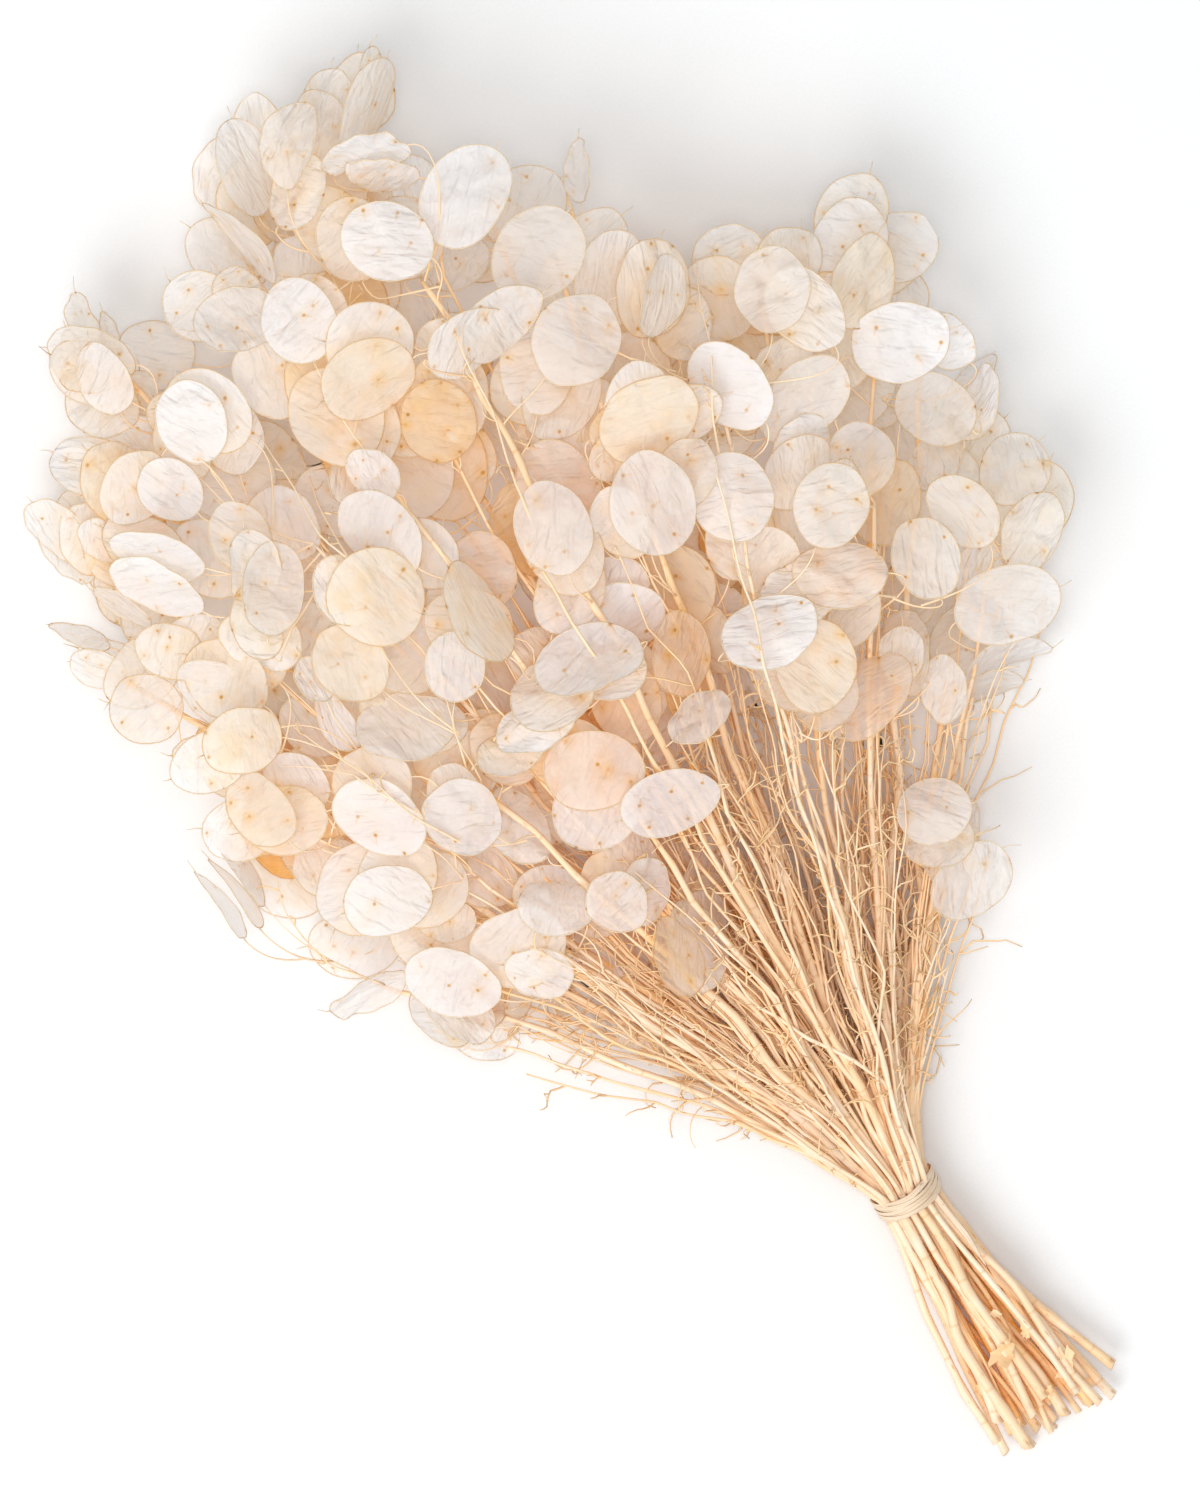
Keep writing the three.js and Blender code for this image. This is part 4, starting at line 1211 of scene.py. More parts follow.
def add_twig(skin, root, run, draws, reach, tone, forks=0.45):
    """A thin twig, crooked or curling, that may carry another."""
    if draws.random() < CROOKED_SHARE:
        line = crooked(root, run, draws, reach)
    else:
        line = curl(root, run, draws, reach, 2.6)
    thick = draws.uniform(*TWIG_HALF) * MM
    sizes = [thick * (1 - 0.5 * k / (len(line) - 1)) for k in range(len(line))]
    tube(skin, line, sizes, 3, (tone, draws.random(), 0.7, 0), caps=(False, True), deep=True)
    if draws.random() < forks:
        k = draws.randint(1, len(line) - 2)
        add_twig(skin, line[k], (line[k + 1] - line[k]).normalized(), draws, reach * 0.6, tone, 0.2)


def add_twigs(skin, line, draws, count, first, reach, tones):
    """Twigs at places of a line, from its point number first on, their reach in millimetres."""
    for _ in range(count):
        k = draws.randint(first, len(line) - 2)
        run = (line[k + 1] - line[k]).normalized()
        add_twig(skin, line[k], run, draws, draws.uniform(*reach) * MM, draws.uniform(*tones))


print("twigs are", 2 * TWIG_HALF[0], "to", 2 * TWIG_HALF[1], "mm thick")

# %% [markdown]
# Below the tie the cut ends cross and hold each other apart, so each foot bows and leans in its own
# way, and all spread outwards together. From most of them a thin strip has split and hangs beside.

# %% The cut ends
FOOT_FROM_Y, FOOT_LONG = -12, 100 * MM
FOOT_BOW = 2.6  # the most that a foot bows sideways, in millimetres
FOOT_LEAN = 5.5 * MM  # the most that a cut end leans to its own side
FOOT_SPLAY = 0.16  # cut ends spread this much further than the solids', as a share of their distance


def bowed_foot(line, draws):
    """The line with its part below the tie bowed."""
    sideways = max(-FOOT_BOW, min(FOOT_BOW, draws.gauss(0, 2.0)))
    bow = Vector((sideways, 0, draws.gauss(0, 1.0))) * MM
    lean = max(-1.0, min(1.0, draws.gauss(0, 0.55))) * FOOT_LEAN
    waves = draws.uniform(0.8, 1.8)
    found = []
    for point in line:
        below = max(0.0, (at(0, FOOT_FROM_Y).y - point.y) / FOOT_LONG)
        bent = bow * (math.sin(math.pi * waves * min(1.0, below)) * min(1.0, 3 * below))
        splay = Vector((lean + FOOT_SPLAY * (point.x - ZERO.x), 0, 0))
        found.append(point + bent + splay * below * below)
    return found


def split_foot(line, draws):
    """A thin strip that has split from the foot of a stem and hangs beside it, from just below the tie."""
    start = next(i for i, p in enumerate(line) if p.y > at(0, -10).y)
    reach = draws.randint(max(3, start - 15), start - 1)
    side = draws.choice((-1, 1)) * draws.uniform(1.2, 3.2) * MM
    sway, phase = draws.uniform(0.3, 1.1) * MM, draws.uniform(0, 6.3)
    found = []
    for k in range(reach):
        off = min(1.0, k / 5) * side + sway * math.sin(0.9 * k + phase) * min(1.0, k / 4)
        found.append(kept_inside(line[start - k] + Vector((off, 0, 0.4 * abs(off))), 1.5 * MM))
    return found


print("cut ends lean by up to", round(FOOT_LEAN / MM, 1), "mm")

# %% [markdown]
# Now a stem can be grown: first its own tube, then what it carries. Every stem starts its own row of
# random draws, so that a change to one leaves all the others as they were.

# %% Grow the stems
SHARE_OF_RADIUS = 0.95
STEM_SIZES = (0.62, 0.75, 0.85, 0.95, 1.1, 1.22)  # shares of the solid stem's thickness
TWIGS, TWIGS_FROM_Y, TWIGS_THICKEST_TO_Y = 46, 42, 215


def grow_carriers(skin, line, radii, draws):
    """The companions and branches of a stem. Returns every line that twigs can grow on."""
    first = next(i for i, p in enumerate(line) if p.y > at(0, 12).y)
    carriers = [line]
    for _ in range(draws.randint(1, 2)):
        companion, bumps = kinked(companion_line(line, first, draws), draws, 1.9 * MM, 24 * MM)
        companion = ended_below(companion)
        thick = max(0.7 * MM, radii[first] * draws.uniform(0.4, 0.85))
        sizes = tapered(thick, companion, bumps, 0.6, 0.2)
        tint = (draws.random(), draws.random(), 0.15, 0)
        tube(skin, companion, sizes, 6, tint, caps=(False, True), deep=True)
        carriers.append(companion)
    for number in range(draws.randint(4, 5)):
        furthest = first + round((len(line) - 12 - first) * (0.35 if number < 4 else 0.9))
        start = draws.randint(first, furthest)
        reach = min(draws.uniform(60, 220) * MM, (len(line) - start + 4) * STEM_STEP)
        branch = branch_line(line, start, draws, reach, draws.uniform(0.05, 0.2))
        branch, bumps = kinked(branch, draws, 1.5 * MM, 19 * MM)
        branch = ended_below(branch)
        branch[0] = line[start]
        thick = max(0.45 * MM, radii[start] * draws.uniform(0.3, 0.6))
        sizes = tapered(thick, branch, bumps, 0.5, 0.25)
        tint = (draws.random(), draws.random(), 0.3, 0)
        tube(skin, branch, sizes, 5, tint, caps=(False, True), deep=True)
        carriers.append(branch)
    return carriers


def add_stem_twigs(skin, carriers, draws):
    """Twigs on a stem and its branches, none near the tie, fewer among the pods and on the left."""
    for _ in range(TWIGS):
        carrier = draws.choice(carriers)
        k = draws.randint(0, len(carrier) - 2)
        near_tie = carrier[k].y < at(0, TWIGS_FROM_Y).y
        bare = near_tie or carrier[k].x < ZERO.x and draws.random() < 0.35
        hidden = carrier[k].y > at(0, TWIGS_THICKEST_TO_Y).y and draws.random() < 0.6
        if not bare and not hidden:
            run = (carrier[k + 1] - carrier[k]).normalized()
            add_twig(skin, carrier[k], run, draws, draws.uniform(6, 30) * MM, draws.uniform(0, 1))


def add_stalk(skin, pod, line, tint, draws):
    """The wavy stalk of a pod, joined to the stem's bent line where it started on the straight one."""
    stalk = list(pod["stalk"])
    on_stem = near_line(stalk[0], line)
    if (on_stem - stalk[0]).length < 4 * MM:
        stalk[0] = on_stem
    wave = Vector([draws.gauss(0, 0.6) for _ in range(3)]) * MM
    stalk = [p + wave * math.sin(math.pi * 2 * k / (len(stalk) - 1)) for k, p in enumerate(stalk)]
    sizes = [(0.58 - 0.24 * min(1, k / 4)) * MM for k in range(len(stalk))]
    tube(skin, stalk, sizes, 4, tint, caps=(False, True), deep=True)


def grow_stem(plant, draws):
    """The stem with its companions, branches and twigs, and its pods' stalks."""
    skin = Skin()
    draw = (draws.random(), draws.random(), 0.0, 0)
    line = bowed_foot(resampled(plant["line"], STEM_STEP), draws)
    line, swells = kinked(line, draws, 1.7 * MM, 27 * MM)
    full, thickness = plant["radii"], SHARE_OF_RADIUS * draws.choice(STEM_SIZES)
    radii = []
    for i in range(len(line)):
        radius = full[min(len(full) - 1, round(i / len(line) * len(full)))] * thickness
        radii.append(radius * (1 + 0.22 * swells[i] + 0.05 * math.sin(i * 0.9 + draw[1] * 6)))
    radii[0] *= 1.12
    radii[-1] *= 0.6
    tube(skin, line, radii, 8, draw, slant=draws.uniform(-0.7, 0.7), deep=True)
    if draws.random() < 0.6:
        strip = split_foot(line, draws)
        sizes = [draws.uniform(0.45, 0.85) * MM for _ in strip]
        tube(skin, strip, sizes, 5, (draws.random(), draws.random(), 0.5, 0), squash=0.6, deep=True)
    add_stem_twigs(skin, grow_carriers(skin, line, radii, draws), draws)
    for pod in plant["pods"]:
        add_stalk(skin, pod, line, (draw[0] * 0.6, draw[1], 0.25, 0), draws)
    return skin


skins = {}
for number, (name, plant) in enumerate(sorted(plants.items())):
    skins[name] = grow_stem(plant, random.Random(900 + number))
wood_faces = sum(len(skin.faces) for skin in skins.values())
print("stems, branches, stalks and twigs:", wood_faces, "faces")

# %% [markdown]
# Looked at from above, a thick bunch shows no table between its stems, only more stems, golden in each
# other's shade. So a last layer starts low in the tie and runs out 3 to 26 mm above the table, an even
# fan from one side to the other.

# %% The lowest stems
LOW_STEMS = 20
LOW_START_X, LOW_SLOPE = 9.0, 0.56  # at the tie, and sideways for each millimetre along, at both edges
LOW_FROM_Y, LOW_STEP = 8, 6  # millimetres
LOW_SINKS_OVER = 16  # points of the line
low_skin, draws = Skin(), random.Random(31)
for number in range(LOW_STEMS):
    share = 2 * (number + draws.uniform(0, 1)) / LOW_STEMS - 1
    reach, thick = draws.uniform(150, 350), draws.uniform(0.55, 1.25)
    tie_height, far_height = draws.uniform(5, 17), draws.uniform(3, 26)
    line = []
    for k in range(round(reach / LOW_STEP)):
        sunk = min(1.0, k / LOW_SINKS_OVER)
        x = share * LOW_START_X + draws.uniform(-0.1, 0.1) + share * LOW_SLOPE * LOW_STEP * k
        height = tie_height * (1 - sunk) + far_height * sunk
        line.append(kept_inside(at(x, LOW_FROM_Y + LOW_STEP * k, height), 2 * MM))
    line, bumps = kinked(line, draws, 1.7 * MM, 26 * MM)
    sizes = tapered(thick * MM, line, bumps, 0.5, 0.2)
    tint = (draws.random(), draws.random(), 0.2, 0)
    tube(low_skin, line, sizes, 5, tint, caps=(False, True), deep=True)
    add_twigs(low_skin, line, draws, draws.randint(1, 4), 6, (8, 22), (0.3, 1))
print("lowest stems:", LOW_STEMS)

# %% [markdown]
# Some stems and twigs ended up above the pods or beside the bunch when it was laid down. Each is given
# by the places that it passes over, because these are the ones that the eye follows.

# %% Stems that lie on top
LOOSE = [  # thickness in millimetres, then the way it goes
    (1.1, [(8, 0), (28, 90), (45, 170), (52, 190), (66, 245), (85, 305)]),
    (1.25, [(11, 0), (17, 42), (4, 68), (-12, 95), (-17, 140)]),
    (0.6, [(4, 300), (10, 330), (15, 372), (20, 415)]),
    (0.55, [(-64, 320), (-65, 340), (-61, 384)]),
    (0.55, [(-60, 318), (-68, 345), (-70, 395)]),
    (0.6, [(78, 280), (90, 310), (104, 338), (116, 370)]),
    (0.55, [(-78, 205), (-90, 230), (-107, 270), (-118, 290)]),
    (0.5, [(-88, 226), (-105, 258), (-130, 275)]),
    (0.75, [(-7, -1), (-24, 42), (-47, 84), (-57, 97), (-58, 110)]),
    (0.55, [(-50, 88), (-72, 107), (-80, 110), (-92, 122), (-100, 137), (-109, 142)]),
    (0.5, [(-138, 178), (-152, 196), (-158, 224), (-152, 246)]),
    (0.5, [(-60, 118), (-88, 130), (-98, 128)]),
    (0.6, [(38, 60), (62, 80), (68, 84), (75, 90)]),
    (0.5, [(110, 140), (140, 165), (147, 170), (152, 172)]),
    (0.8, [(-8, -1), (-22, 32), (-36, 60), (-52, 96), (-66, 132)]),
    (1.0, [(-6, 0), (-28, 48), (-48, 88), (-58, 118), (-72, 160)]),
    (0.8, [(2, 0), (10, 60), (20, 110), (38, 160), (46, 200)]),
    (0.9, [(0, 0), (-6, 50), (-4, 96), (-22, 150), (-30, 178)]),
    (0.7, [(10, 0), (26, 50), (48, 92), (74, 128), (96, 170)]),
    (0.7, [(-3, 0), (-8, 36), (-34, 84), (-52, 128), (-84, 168)]),
    (0.85, [(5, 0), (14, 46), (38, 84), (44, 130), (68, 178)]),
]
print("loose stems:", len(LOOSE))

# %% [markdown]
# A loose stem rests on whatever is under it, which rays from above find. A stiff rod would bridge
# every hollow like a taut string, and a limp one would sag into each. A dry stem does some of both: it
# follows the string, but falls away gently from the tops where a hollow is long.

# %% How a stem lies on the bunch
GENTLE = 0.22  # how steeply a loose stem may fall away from what it lies on
TIED_TO_Y = 3  # a loose stem that starts nearer than this is held in the tie
IN_TIE_HEIGHT = 24.5 * MM  # of what such a stem lies on there
LAID_STEP = 5 * MM


def slope(tops, a, b):
    """The rise from one place of a line to another for each step between them."""
    return (tops[b] - tops[a]) / max(1, b - a)


def top_under(point):
    """The height of the highest thing at a spot."""
    start = Vector((point.x, point.y, 1))
    hits = [tree.ray_cast(start, Vector((0, 0, -1)))[0] for tree in (heap, plates)]
    return max([hit.z for hit in hits if hit] + [3 * MM])


def lying_over(way):
    """The line of a stem laid over the bunch along these places, its ends let in a little."""
    line = resampled([at(x, y) for x, y in way], LAID_STEP)
    for k, point in enumerate(line):
        line[k] = point + Vector((math.sin(k * 0.7) * 0.5, math.cos(k * 0.53) * 0.4, 0)) * MM
    tops = [top_under(point) for point in line]
    tied = line[0].y < at(0, TIED_TO_Y).y
    if tied:
        tops[0] = IN_TIE_HEIGHT
    taut = [0]  # the places where a taut string over the tops would touch them
    for k in range(1, len(line)):
        while len(taut) > 1 and slope(tops, taut[-1], k) > slope(tops, taut[-2], taut[-1]):
            taut.pop()
        taut.append(k)
    heights = []
    for i, point in enumerate(line):
        after = next(n for n, k in enumerate(taut) if k >= i)
        rise = slope(tops, taut[max(0, after - 1)], taut[after])
        string = tops[taut[after]] + rise * (i - taut[after])
        sagging = max(top - GENTLE * (line[j] - point).length for j, top in enumerate(tops))
        heights.append(min(string, sagging))
    for i, point in enumerate(line):
        rooted = 0.0 if tied else 5 * MM * max(0, 1 - i / 4)
        rooted += 2.5 * MM * max(0, 1 - (len(line) - 1 - i) / 3)
        line[i] = Vector((point.x, point.y, heights[i] + 1.0 * MM - rooted))
    return line


print("in the tie, loose stems lie on what is", round(IN_TIE_HEIGHT / MM, 1), "mm high")

# %% [markdown]
# Other stems have settled among the topmost ones. They are laid over the bunch in the same way, from
# the tie outwards to the first pod, and then let in by a few millimetres, so that the stems on top
# cross over them. They go down with the loose stems, in one piece.

# %% Lay the loose and the settled stems
SETTLED_STEMS = 30
SETTLED_SLOPE = 0.5  # sideways for each millimetre along, at both edges of the fan
FAN_TO_Y, FAN_STEP = 260, 10


def way_to_pods(share):
    """The places from the tie outwards to the first pod, share saying how far to one side it goes."""
    way = []
    for y in range(0, FAN_TO_Y, FAN_STEP):
        x = share * (LOW_START_X + SETTLED_SLOPE * y)
        spot = at(x, y)
        if top_at(plates, spot.x, spot.y):
            break
        way.append((x, y))
    return way


loose_skin, draws = Skin(), random.Random(44)
for thick, way in LOOSE:
    line, bumps = kinked(lying_over(way), draws, 0.7 * MM, 22 * MM)
    sizes = tapered(thick * MM, line, bumps, 0.7, 0.25)
    tube(loose_skin, line, sizes, 6, (draws.uniform(0, 0.4), draws.random(), 0.1, 0))
    add_twigs(loose_skin, line, draws, round(len(line) / 4), 2, (5, 16), (0.1, 0.7))
for number in range(SETTLED_STEMS):
    share = 2 * (number + draws.random()) / SETTLED_STEMS - 1
    sunk = Vector((0, 0, draws.uniform(2.5, 8) * MM))
    line = [point - sunk for point in lying_over(way_to_pods(share))]
    line.append(line[-1] * 2 - line[-3] - sunk)  # on under the first pod
    line, bumps = kinked(line, draws, 1.7 * MM, 24 * MM)
    thick = draws.uniform(0.65, 1.25) * MM
    sizes = tapered(thick, line, bumps, 0.5, 0.2)
    tube(loose_skin, line, sizes, 6, (draws.random(), draws.random(), 0.15, 0), deep=True)
    add_twigs(loose_skin, line, draws, draws.randint(2, 6), 6, (6, 20), (0.1, 0.9))
print("loose and settled stems:", len(LOOSE) + SETTLED_STEMS)

# %% [markdown]
# Handling breaks the driest pods and peels strips off the stems, and the torn pieces stay caught in
# the bunch. A flake is a small sheet with a ragged edge, crumpled more than a whole pod is. Above the
# tie the flakes are pod paper, and among the cut ends they are straw.

# %% Torn flakes
FLAKE_POINTS, FLAKE_RINGS = 22, (0.35, 0.7, 1.0)
FLAKES = [  # place, and reach from middle to edge, in millimetres
    (-63, 110, 9), (-56, 104, 7), (-80, 133, 7), (-88, 131, 5), (-72, 122, 6),
    (-7, -103, 5), (4, -75, 9), (23, -92, 8), (-12, -84, 4), (12, -98, 5), (22, -80, 4),
    (9, -60, 3), (16, -72, 4),
]


def add_flake(skin, middle, reach, draws, unit, draw):
    """A curled scrap with a ragged edge. Its marks are places on it, in this unit of length."""
    points = FLAKE_POINTS
    start = Vector([draws.uniform(0, 90) for _ in range(3)])
    tilt = Vector([draws.gauss(0, 0.25) for _ in range(3)])
    along = Vector((draws.gauss(0, 1), draws.gauss(0, 1), 0)).normalized() + tilt * 0.5
    across = Vector((-along.y, along.x, tilt.z))
    corners, faces = [middle], []
    edge = [reach * draws.uniform(0.6, 1.0) * draws.choice((0.7, 1.0, 1.0)) for _ in range(points)]
    for ring, out in enumerate(FLAKE_RINGS):
        for k in range(points):
            a = 2 * math.pi * k / points
            flat = (along * math.cos(a) + across * (0.6 * math.sin(a))) * edge[k] * out
            crumple = clouds.noise(start + flat / (6 * MM)) * 0.35 * reach
            crumple += 0.25 * reach * (math.sin(a) * out) ** 2
            corners.append(middle + flat + Vector((0, 0, crumple)))
            here, there = 1 + ring * points + k, 1 + ring * points + (k + 1) % points
            faces.append((0, here, there) if ring == 0 else (here - points, here, there, there - points))
    marks = [((c - middle).dot(along) / unit, (c - middle).dot(across) / unit, 0) for c in corners]
    skin.add(corners, faces, marks, draw)


flake_skin, peel_skin = Skin(), Skin()
for x, y, reach in FLAKES:
    spot = at(x, y)
    around = [spot + Vector((a, b, 0)) * 0.4 * reach * MM for a in (-1, 0, 1) for b in (-1, 0, 1)]
    spot.z = max(4 * MM, max(top_under(point) for point in around) - draws.uniform(0, 2) * MM)
    if y > 0:
        paper_draw = (draws.uniform(0, 0.3), draws.random(), draws.uniform(0.15, 0.4), 0.2)
        add_flake(flake_skin, spot, reach * MM, draws, reach * MM, paper_draw)
    else:
        add_flake(peel_skin, spot, reach * MM, draws, 1.0, (0.9, draws.random(), 0.1, 0.06))
print("flakes:", len(FLAKES))

# %% [markdown]
# Three finishes are left. The first is the pods' paper. Seeds have left orange-brown dots on it with
# warm halos, some with the short thread that held them. A cell pattern drawn in the pod's own
# coordinates scatters them: each cell has one point, and what is near enough to it is dot, a little
# further off is halo, and straight beside it is thread.

# %% The seeds' marks on the paper
HALF_LONG, HALF_WIDE = 18.0, 14.5  # millimetres, about what 1 stands for in the pod's coordinates
CELL = 11.0  # millimetres between seed places

paper = Finish("dry_pod_paper")
place = paper.attribute("place")["Vector"]
spot = paper.node("ShaderNodeSeparateXYZ", {}, {"Vector": place})
u, v, rim = spot["X"], spot["Y"], spot["Z"]
draw_of = paper.attribute("draw")
drawn = paper.node("ShaderNodeSeparateColor", {}, {"Color": draw_of["Color"]})
thin, chance_draw, warmth, blush = drawn["Red"], drawn["Green"], drawn["Blue"], draw_of["Alpha"]
on_bunch = paper.node("ShaderNodeTexCoord")["Object"]

seed_spot = paper.node("ShaderNodeCombineXYZ", {}, {
    "X": u * (HALF_LONG / CELL) + thin * 60.0, "Y": v * (HALF_WIDE / CELL) + chance_draw * 60.0})["Vector"]
cells = paper.node("ShaderNodeTexVoronoi", {"voronoi_dimensions": "2D"}, {
    "Vector": seed_spot, "Scale": 1.0})
cell_draw = paper.node("ShaderNodeSeparateColor", {}, {"Color": cells["Color"]})
beside = paper.node("ShaderNodeSeparateXYZ", {}, {"Vector": (seed_spot - cells["Position"]) * CELL})
away, has_seed = cells["Distance"] * CELL, cell_draw["Red"].steps(0.54, 0.6)
thread_bend = beside["X"] + beside["Y"] * (cell_draw["Green"] * 1.6 - 0.8)
thread = thread_bend.size().steps(0.5, 0.1) * beside["Y"].steps(0.0, 0.3) * beside["Y"].steps(4.6, 1.6)
dots = (away.steps(1.1, 0.35) * (cell_draw["Green"] * 0.6 + 0.4)).most(thread * 0.4) * has_seed
halos = away.steps(5.0, 0.0) * has_seed * cell_draw["Blue"]
print("nodes for the seeds' marks:", len(paper.tree.nodes))

# %% [markdown]
# The paper's tone goes from a cool white over cream to gold, by the warmth that each corner of a pod
# carries: partly the pod's own tint, mostly painted shade and painted golden light from the pods above it.
# Thin pods, most of all lone ones, are painted greyer, a painted shadow of the table seen through them.
# Soft clouds stain it, and fine creases run across it in a direction that each pod draws for itself.
# The rim is a little browner. The marks of the seeds go on last.

# %% The paper's tones
cloud = paper.noise(on_bunch, 85, 1.5)
crumple = paper.noise(on_bunch, 210, 1, 0.6)
turned = paper.node("ShaderNodeVectorRotate", {"rotation_type": "Z_AXIS"}, {
    "Vector": place, "Angle": chance_draw * math.pi})["Vector"]
own_part = paper.node("ShaderNodeCombineXYZ", {}, {"Z": thin * 50.0})["Vector"]
creases = paper.noise(turned * (1.1, 3.4, 1.0) + own_part, 1.0, 2, 0.8)
# Painted shade and painted golden light: the more warmth a corner carries, the more cream it is.
pale = paper.mix((warmth * 2.0).least(1.0), srgb(250, 251, 254), srgb(254, 245, 228))
# Painted shadow: thin, lone pods are greyed for the shaded table that shows through them.
pale = paper.mix(thin.steps(0.4, 1.0) * 0.6, pale, srgb(238, 229, 219))
# Painted shade and painted golden light: high warmth turns the paper gold.
body = paper.mix((warmth * 2.0 - 1.0).most(0.0), pale, srgb(249, 193, 88))
body = paper.mix(blush * (cloud.steps(0.3, 0.75) * 0.65 + 0.25), body, srgb(254, 232, 218))
body = paper.mix(cloud.steps(0.46, 0.72) * (warmth * 0.6 + 0.04), body, srgb(253, 218, 150))
body = paper.mix(halos * (warmth * 0.75 + 0.25), body, srgb(252, 204, 104))
rim_tone = paper.mix(warmth, srgb(252, 236, 206), srgb(250, 212, 146))
body = paper.mix(rim * 0.9, body, rim_tone)
body = paper.mix(dots * 0.9, body, srgb(206, 148, 30))
print("nodes with the tones:", len(paper.tree.nodes))

# %% [markdown]
# Thin paper scatters light forward as well as back, so its surface is a matt shader mixed with a
# translucent one. A little of it is left clear, which lets the rim of the pod beneath show through.

# %% The paper's surface
normal = paper.bump(crumple * 0.45 + cloud * 0.8 + creases * 1.15, 1.0, 1.8 * MM)
face = paper.node("ShaderNodeBsdfPrincipled", {}, {
    "Base Color": body, "Roughness": creases * 0.25 + 0.34, "Normal": normal,
    "Specular IOR Level": 0.3, "Sheen Weight": 0.1, "Sheen Roughness": 0.4})["BSDF"]
through = paper.node("ShaderNodeBsdfTranslucent", {}, {"Color": body, "Normal": normal})["BSDF"]
sheet = paper.node("ShaderNodeMixShader", {}, {0: warmth * 0.24 + 0.38, 1: face, 2: through})["Shader"]
clear = paper.node("ShaderNodeBsdfTransparent", {}, {"Color": (1, 1, 1)})["BSDF"]
solid_share = (thin * -0.36 + 0.94 + warmth * 0.03 + rim * 0.35 + dots * 0.3).least(1.0)
sheet = paper.node("ShaderNodeMixShader", {}, {0: solid_share, 1: clear, 2: sheet})["Shader"]
paper_material = paper.surface(sheet)
print("paper nodes:", len(paper.tree.nodes))

# %% [markdown]
# Dry stems are straw-coloured, palest where the light has bleached them and more golden in the
# grooves between their ribs. The ribs follow the stem, so their pattern is drawn on the stem laid
# straight, squeezed across and stretched along. A brown ring at even distances stands for the joints,
# out of step from one stem to the next. Twigs are the most golden, and deep-lying stems are painted
# golden too: painted shade and painted golden light, for the light that reaches them through the straw.

# %% Straw
JOINT_SPACING = 30 * MM

straw = Finish("dry_stem")
laid = straw.attribute("place")["Vector"]
straw_draw = straw.attribute("draw")
stem_draw = straw.node("ShaderNodeSeparateColor", {}, {"Color": straw_draw["Color"]})
tone, shift, twiggy = stem_draw["Red"], stem_draw["Green"], stem_draw["Blue"]
depth = straw_draw["Alpha"]
squeezed = laid * (1500.0, 1500.0, 45.0)
own_ribs = straw.node("ShaderNodeCombineXYZ", {}, {"Z": shift * 40.0})["Vector"]
ribs = straw.noise(squeezed + own_ribs, 1.0, 2)
blotches = straw.noise(straw.node("ShaderNodeTexCoord")["Object"], 55, 2)
specks = straw.noise(laid * (700.0, 700.0, 160.0), 1.0, 2)
length = straw.node("ShaderNodeSeparateXYZ", {}, {"Vector": laid})["Z"]
off_joint = ((length * (1 / JOINT_SPACING) + shift * 9.0).fraction() - 0.5).size()
joints = off_joint.steps(0.035, 0.0) * (1.0 - twiggy * 4.0).most(0.0)
wood = straw.mix(tone, srgb(246, 225, 199), srgb(242, 205, 162))
wood = straw.mix(ribs.steps(0.42, 0.7) * 0.5, wood, srgb(244, 206, 158))
wood = straw.mix(blotches.steps(0.5, 0.75) * 0.4, wood, srgb(250, 238, 222))
wood = straw.mix(twiggy * 0.5, wood, srgb(250, 206, 132))
# Painted shade and painted golden light: the deeper a stem lies in the bunch, the more golden.
wood = straw.mix((depth * 1.4).least(0.96), wood, srgb(255, 186, 60))
wood = straw.mix(joints * 0.38, wood, srgb(214, 160, 104))
wood = straw.mix(specks.steps(0.62, 0.74) * 0.6, wood, srgb(196, 134, 76))
stem_normal = straw.bump(ribs, 0.5, 0.35 * MM)
straw_material = straw.surface(straw.node("ShaderNodeBsdfPrincipled", {}, {
    "Base Color": wood, "Roughness": ribs * 0.25 + 0.4, "Normal": stem_normal,
    "Specular IOR Level": 0.35})["BSDF"])
print("straw nodes:", len(straw.tree.nodes))

# %% [markdown]
# Raffia is a strip of palm leaf: flat, finely grooved along its length, greyer than the stems.

# %% Raffia
palm = Finish("raffia_strip")
strip = palm.attribute("place")["Vector"]
fibres = palm.noise(strip * (2600.0, 2600.0, 60.0), 1.0, 3, 0.2)
spots = palm.noise(palm.node("ShaderNodeTexCoord")["Object"], 480, 2)
leaf = palm.mix(fibres.steps(0.35, 0.7), srgb(236, 216, 192), srgb(218, 190, 156))
leaf = palm.mix(spots.steps(0.66, 0.74) * 0.6, leaf, srgb(184, 130, 78))
palm_normal = palm.bump(fibres, 0.6, 0.3 * MM)
raffia_material = palm.surface(palm.node("ShaderNodeBsdfPrincipled", {}, {
    "Base Color": leaf, "Roughness": fibres * 0.2 + 0.42, "Normal": palm_normal,
    "Specular IOR Level": 0.4})["BSDF"])
print("raffia nodes:", len(palm.tree.nodes))

# %% [markdown]
# Each stem becomes two pieces that stand for its solid: the woody parts in straw and the pods in paper.

# %% Make the stems and the pods
for number, (name, plant) in enumerate(sorted(plants.items())):
    skins[name].piece(name + "_wood", straw_material, "dried_honesty", name)
    paper_skin = Skin()
    draws = random.Random(2000 + number)
    for pod in plant["pods"]:
        add_pod(paper_skin, pod, draws)
    if plant["pods"]:
        paper_skin.piece(name + "_pods", paper_material, "papery_pod", name)
low_skin.piece("lowest_stems", straw_material, "dried_honesty")
loose_skin.piece("loose_stems", straw_material, "dried_honesty")
flake_skin.piece("torn_flakes", paper_material, "papery_pod")
peel_skin.piece("stem_peelings", straw_material, "dried_honesty")
print("pods made:", len(all_pods))

# %% [markdown]
# The tie is a bundle of flat strips wound round the waist, not a smooth band. Each strip is a loop of
# flattened rings that sways a little across the others. It dips towards the cut ends over the top and,
# by less, away from them underneath.

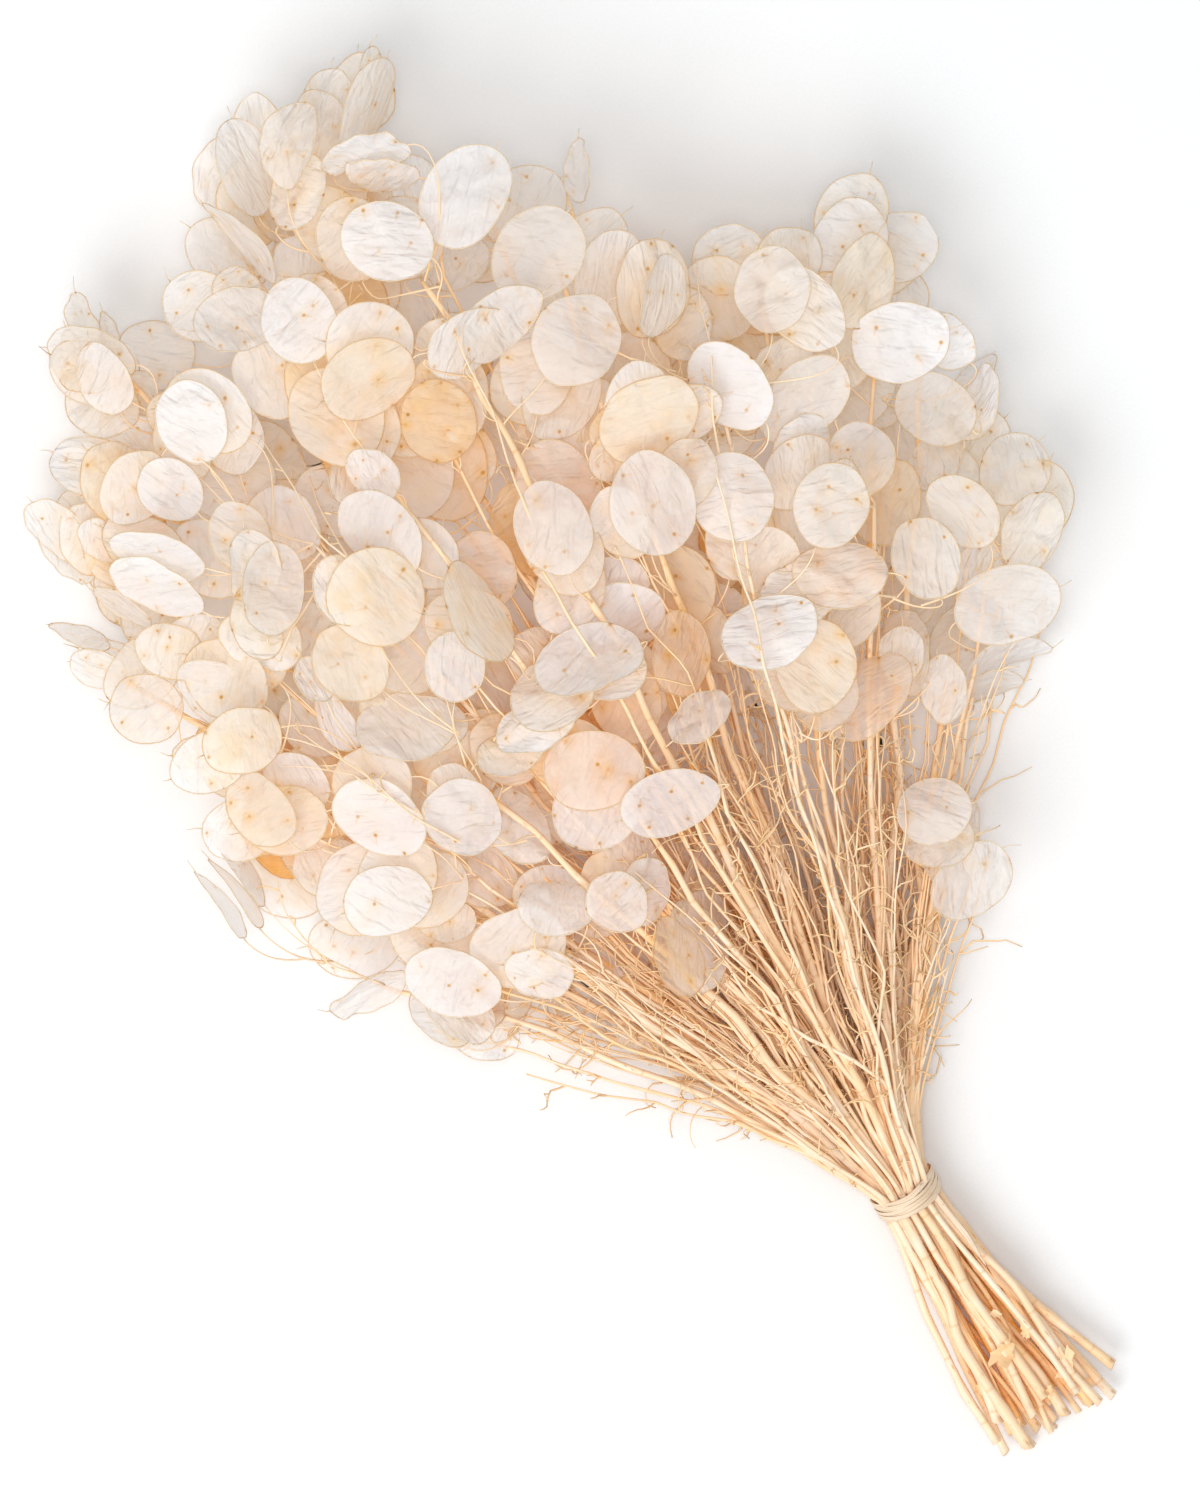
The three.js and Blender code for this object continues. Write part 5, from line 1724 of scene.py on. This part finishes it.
# %% Wind the raffia
WAIST = Vector((2.0, 0, 15.0))
LOOP_REACH, LOOP_STEPS = 13.7, 84
DIP_OVER, DIP_UNDER = 6, 2  # millimetres
STRIPS = [  # place across the band, half width, how far it stands out, all in millimetres
    (-3.1, 1.05, 0.1), (-1.2, 1.1, 0.0), (0.8, 1.15, 0.1), (2.7, 1.05, 0.0),
    (-0.2, 0.75, 0.55), (-2.3, 0.7, 0.5), (2.0, 0.8, 0.5), (3.4, 0.55, 0.4),
]
tie = Skin()
draws = random.Random(77)
for offset, half, proud in STRIPS:
    phase, waves, sway = draws.uniform(0, 6.3), draws.choice((1, 2)), draws.uniform(0.3, 0.8)
    line, frames = [], []
    for k in range(LOOP_STEPS + 1):
        a = 2 * math.pi * k / LOOP_STEPS
        rise = math.sin(a)
        slack = max(0.0, math.cos(a)) * max(0.0, rise) * (1 if offset > 2 else 0)
        dip = (DIP_OVER if rise > 0 else DIP_UNDER) * rise
        y = 1 - dip + offset + sway * math.sin(waves * a + phase) + 2.2 * slack
        reach = LOOP_REACH + proud + 0.12 * math.sin(5 * a + phase) + 1.1 * slack
        line.append(at(WAIST.x + reach * math.cos(a), y, WAIST.z + reach * rise))
        outward = Vector((math.cos(a), 0, rise))
        frames.append((Vector((-rise, 0, math.cos(a))), Vector((0, 1, 0)), outward))
    ripple = [math.sin(3 * k / LOOP_STEPS * 6.28 + phase) for k in range(LOOP_STEPS + 1)]
    widths = [half * MM * (1 + 0.12 * wave) for wave in ripple]
    tube(tie, line, widths, 8, (draws.random(),) * 4, squash=0.3, caps=(False, False), frames=frames)
print("strips round the waist:", len(STRIPS))

# %% [markdown]
# The loose end of the raffia lies back over the stems, on the top of the solid's loose end, and
# narrows to a point. Its rings keep their flat side level, so it can't roll over as it turns.

# %% The loose end of the raffia
TAIL = [  # place, and how far below the solid's top, in millimetres
    (10.8, -3.5, 4.5), (11.6, -7, 2.0), (12.5, -14, 0.4), (14.5, -27, 0.2), (15.2, -41, 0.2),
]
TAIL_TOP = 27 * MM  # where the solid has no corner near
TAIL_HALF, TAIL_POINTED = 1.35 * MM, 0.6  # half its width, and how far along it starts to narrow
solid_tie = [v.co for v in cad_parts["raffia_tie"].data.vertices]
tail = []
for x, y, sunk in TAIL:
    near = [p.z for p in solid_tie
            if abs(p.y - at(0, y).y) < 4 * MM and abs(p.x - at(x, 0).x) < 3 * MM]
    tail.append(at(x, y) + Vector((0, 0, (max(near) if near else TAIL_TOP) - sunk * MM)))
tail = resampled(tail, 2.5 * MM)
narrowing = [max(0, k / (len(tail) - 1) - TAIL_POINTED) / 0.4 for k in range(len(tail))]
widths = [TAIL_HALF * (1 - 0.85 * share) for share in narrowing]
flat_frames = []
for run, _, _ in frames_along(tail):
    side = run.cross(Vector((0, 0, 1))).normalized()
    flat_frames.append((run, side, side.cross(run)))
tube(tie, tail, widths, 8, (draws.random(),) * 4, squash=0.16, frames=flat_frames)
tie.piece("raffia_strips", raffia_material, "raffia", "raffia_tie")
print("raffia corners:", tie.count)

# %% [markdown]
# The last cell brings the scene up to date.

# %% Finish
bpy.context.view_layer.update()
